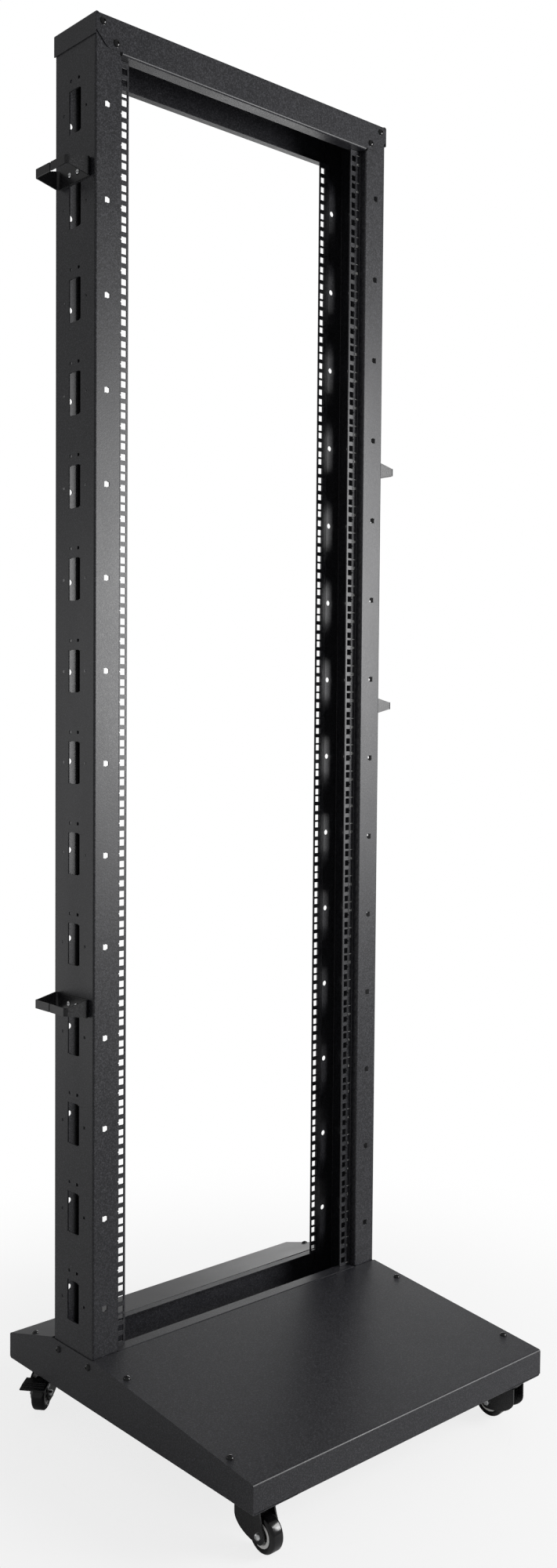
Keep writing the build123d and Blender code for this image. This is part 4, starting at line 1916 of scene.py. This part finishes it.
    def build_axle(self) -> None:
        """Makes the axle bolt with its domed head and its nut."""
        builder = MeshBuilder()
        out = self.leg_face
        bolt = (*lifted(self.SHANK, -out), *lifted(self.HEAD, out))
        Turned(bolt, 36).add_to(builder, self.axle())
        Turned(lifted(self.AXLE_NUT, -out), 6, crease=5.0).add_to(builder, self.axle())
        self.place(
            builder, "axle_bolt", (Finish.ZINC,), "zinc", "caster_axle", f"swivel_{self.corner}"
        )

    def build_wheel(self) -> None:
        """Makes the nylon hub and the tyre with its rounded tread."""
        body = f"wheel_{self.corner}"
        builder = MeshBuilder()
        (outer, brim), (bore, deep) = self.RIM[0], self.FACE[-1]
        for slot, outlines in enumerate((
            (self.RIM, mirrored(self.RIM), ((outer, -brim), (outer, brim))),
            (self.FACE, mirrored(self.FACE), ((bore, deep), (bore, -deep))),
        )):
            for outline in outlines:
                Turned(outline).add_to(builder, self.axle(), slot)
        # Slot 0, the rim and its walls, is white; slot 1, the recess floor and the boss, is near
        # black.
        finishes = (Finish.NYLON, Finish.DARK_HUB_CENTRE)
        self.place(builder, "hub", finishes, "hub_plastic", "caster_hub", body)
        turn = np.linspace(0, math.pi / 2, 9)
        tall, wide = self.shoulder
        round_r = self.wheel - tall + tall * np.sin(turn)
        round_h = self.tread - wide + wide * np.cos(turn)
        upper = ((17.0, self.tread - 1.0), (17.5, self.tread - 0.2), *zip(round_r, round_h))
        outline = upper + mirrored(upper)
        builder = MeshBuilder()
        Turned(outline[::-1], 72, closed=True).add_to(builder, self.axle())
        self.place(builder, "tyre", (Finish.RUBBER,), "tyre", "caster_tyre", body)

    def build_pedal(self) -> None:
        """Makes the brake pedal: a folded tread plate with grip bars, cheeks and pins."""
        builder = MeshBuilder()
        path = FoldPath([(33.0, 53.0), (54.0, 53.0), (67.9, 51.0)], 14.0, 5)
        FoldedSheet(path, (-20.0, 20.0), 2.0, self.sideways()).add_to(builder)
        for along, low in ((50.0, 53.9), (55.5, 53.7), (61.0, 52.9)):
            bar = paired(along - 0.9, np.array([-17.0, 17.0]))
            Plate(bar, bar + [1.8, 0.0], low, low + 0.9).add_to(builder, self.upright())
        lower, upper = self.around_pin(math.pi), paired(np.linspace(32.0, 60.0, 13), 52.4)
        inner, outer = self.cheek
        for low, high in ((inner, outer), (-outer, -inner)):
            Plate(lower, upper, low, high).add_to(builder, self.sideways())
        for outline in (self.PIN, mirrored(self.PIN)):
            Turned(outline, 28).add_to(builder, self.sideways(*self.pin), 1)
        self.place(
            builder, "pedal", (Finish.CASTER, Finish.ZINC), "caster_paint", "brake_pedal",
            f"pedal_{self.corner}",
        )

    def build(self) -> None:
        """Makes the whole caster."""
        self.build_plate()
        self.build_fork()
        self.build_axle()
        self.build_wheel()
        if self.braked:
            self.build_pedal()


# Stage


@dataclass(frozen=True)
class Studio:
    """The camera, the lights and the floor.

    Args:
        position: the camera's place, in metres.
        yaw: the way it looks, in degrees from +Y towards +X.
        pitch: how far it looks down, in degrees.
        roll: how far it is turned, in degrees.
        lens: focal length on a 36 mm high sensor.
        shift: sideways and upward shift of the lens, in sensor heights.
        target: the point that the lights face, in metres.
        surroundings: strength of the surroundings' light.
        floor_shade: grey of the floor.
        floor_fade: distances at which the floor begins and ends to fade, in metres.
        floor_clear: how much of the floor the camera looks through.
        floor_reach: half of the floor's size, in metres.
    """

    LIGHTS = (
        ("key", (1.65, -1.9, 1.4), (1.1, 1.5), 60.0),
        ("strip", (1.35, -2.0, 1.15), (0.35, 0.6), 5.0),
        ("side", (-1.9, 2.0, 0.75), (1.2, 1.8), 5.0),
        ("low", (2.4, 2.2, 0.7), (1.6, 0.8), 12.0),
    )
    SENSOR = 36.0

    position: tuple[float, float, float] = (-1.4443, -1.6123, 1.0898)
    yaw: float = 41.9048
    pitch: float = 2.476
    roll: float = 0.4547
    lens: float = 32.419
    shift: tuple[float, float] = (-0.00053, -0.00599)
    target: tuple[float, float, float] = (0.0, 0.05, 1.0)
    surroundings: float = 0.33
    floor_shade: float = 0.75
    floor_fade: tuple[float, float] = (0.35, 1.3)
    floor_clear: float = 0.8
    floor_reach: float = 14.0

    def build_camera(self) -> None:
        """Makes the camera and makes it the scene's own."""
        yaw, pitch, roll = (math.radians(v) for v in (self.yaw, self.pitch, self.roll))
        level = Vector((math.cos(yaw), -math.sin(yaw), 0.0))
        ahead = Vector((math.sin(yaw), math.cos(yaw), 0.0))
        forward = ahead * math.cos(pitch) - Vector((0.0, 0.0, math.sin(pitch)))
        up = level.cross(forward)
        right = level * math.cos(roll) + up * math.sin(roll)
        upward = up * math.cos(roll) - level * math.sin(roll)
        data = bpy.data.cameras.new("camera")
        data.sensor_fit = "VERTICAL"
        data.sensor_height = self.SENSOR
        data.lens = self.lens
        data.shift_x, data.shift_y = self.shift
        data.clip_end = 100.0
        camera = bpy.data.objects.new("camera", data)
        turn = Matrix((right, upward, -forward)).transposed().to_4x4()
        camera.matrix_world = Matrix.Translation(self.position) @ turn
        bpy.context.scene.collection.objects.link(camera)
        bpy.context.scene.camera = camera

    def add_light(
        self, name: str, place: Sequence[float], size: tuple[float, float], power: float
    ) -> None:
        """Adds a soft box that faces the rack.

        Args:
            name: the light's name.
            place: its place, in metres.
            size: its width and height, in metres.
            power: its power, in watts.
        """
        data = bpy.data.lights.new(name, "AREA")
        data.shape = "RECTANGLE"
        data.size, data.size_y = size
        data.energy = power
        light = bpy.data.objects.new(name, data)
        light.location = place
        aim = Vector(self.target) - Vector(place)
        light.rotation_euler = aim.to_track_quat("-Z", "Y").to_euler()
        bpy.context.scene.collection.objects.link(light)

    def build_world(self) -> None:
        """Makes the surroundings: white to the camera and softer to everything else."""
        world = bpy.data.worlds.new("surroundings")
        bpy.context.scene.world = world
        world.use_nodes = True
        graph = Graph(world.node_tree)
        shares = {0: graph.node("ShaderNodeLightPath").outputs["Is Camera Ray"]}
        for socket, strength in ((1, self.surroundings), (2, 1.0)):
            inputs = {"Color": (1.0, 1.0, 1.0, 1.0), "Strength": strength}
            shares[socket] = graph.node("ShaderNodeBackground", {}, inputs).outputs[0]
        mixed = graph.node("ShaderNodeMixShader", {}, shares)
        graph.node("ShaderNodeOutputWorld", {}, {"Surface": mixed.outputs[0]})

    def build_floor(self) -> None:
        """Makes a plain pale floor that fades away and lets the camera see through most of it."""
        graph = Surface("floor")
        place = graph.node("ShaderNodeTexCoord").outputs["Object"]
        away = graph.node("ShaderNodeVectorMath", {"operation": "LENGTH"}, {0: place})
        near, far = self.floor_fade
        fade = graph.node("ShaderNodeMapRange", {"interpolation_type": "SMOOTHERSTEP"}, {
            "Value": away.outputs["Value"],
            "From Min": near, "From Max": far, "To Min": 1.0, "To Max": 0.0,
        })
        graph.shade({
            "Base Color": (*[self.floor_shade] * 3, 1.0),
            "Roughness": 0.7,
            "Specular IOR Level": 0.1,
            "Alpha": fade.outputs[0],
        })
        output = graph.tree.nodes["Material Output"]
        camera_ray = Value(graph, graph.node("ShaderNodeLightPath").outputs["Is Camera Ray"])
        clear = graph.node("ShaderNodeBsdfTransparent").outputs[0]
        shares = {0: camera_ray * self.floor_clear, 1: graph.shader.outputs[0], 2: clear}
        mixed = graph.node("ShaderNodeMixShader", {}, shares)
        graph.feed(output.inputs["Surface"], mixed.outputs[0])
        mesh = bpy.data.meshes.new("floor")
        reach = self.floor_reach
        corners = [(-reach, -reach, 0), (reach, -reach, 0), (reach, reach, 0), (-reach, reach, 0)]
        mesh.from_pydata(corners, [], [(0, 1, 2, 3)])
        mesh.materials.append(graph.material)
        floor = bpy.data.objects.new("floor", mesh)
        bpy.context.scene.collection.objects.link(floor)

    def build(self) -> None:
        """Makes the whole stage."""
        self.build_camera()
        self.build_world()
        self.build_floor()
        for light in self.LIGHTS:
            self.add_light(*light)
        bpy.context.scene.view_settings.view_transform = "Standard"


CASTERS = (
    Caster("front_left", (-253.5, -251.5), -90.0),
    Caster("front_right", (253.5, -251.5), 96.0),
    Caster("rear_left", (-253.5, 256.5), -140.0, True),
    Caster("rear_right", (253.5, 256.5), -40.0, True),
)


def main() -> None:
    """Builds the rack and its stage in order; place_piece reports each piece."""
    logging.basicConfig(level=logging.INFO, format="%(name)s: %(message)s")
    for side in Side:
        Post(side).build()
        UnitMarks(side).build()
        BaseSide(side).build()
    Channel("beam_sheet", "top_beam", RACK.beam_top, RACK.beam_bottom, cut=20.0, flap=31.0).build()
    Channel("channel_sheet", "base_cross_channel", RACK.ridge - 48.0, RACK.ridge).build()
    Cover("front", RACK.front_ridge, RACK.base_front).build()
    Cover("rear", RACK.rear_ridge, RACK.base_rear).build()
    for side, slots in RING_SLOTS.items():
        for level, slot in zip(("lower", "upper"), slots):
            CableRing(side, level, slot).build()
    FrameScrews().build()
    for caster in CASTERS:
        caster.build()
    Studio().build()
    log.info("stage built")
    log.info("sizes written")


if __name__ == "__main__":
    main()
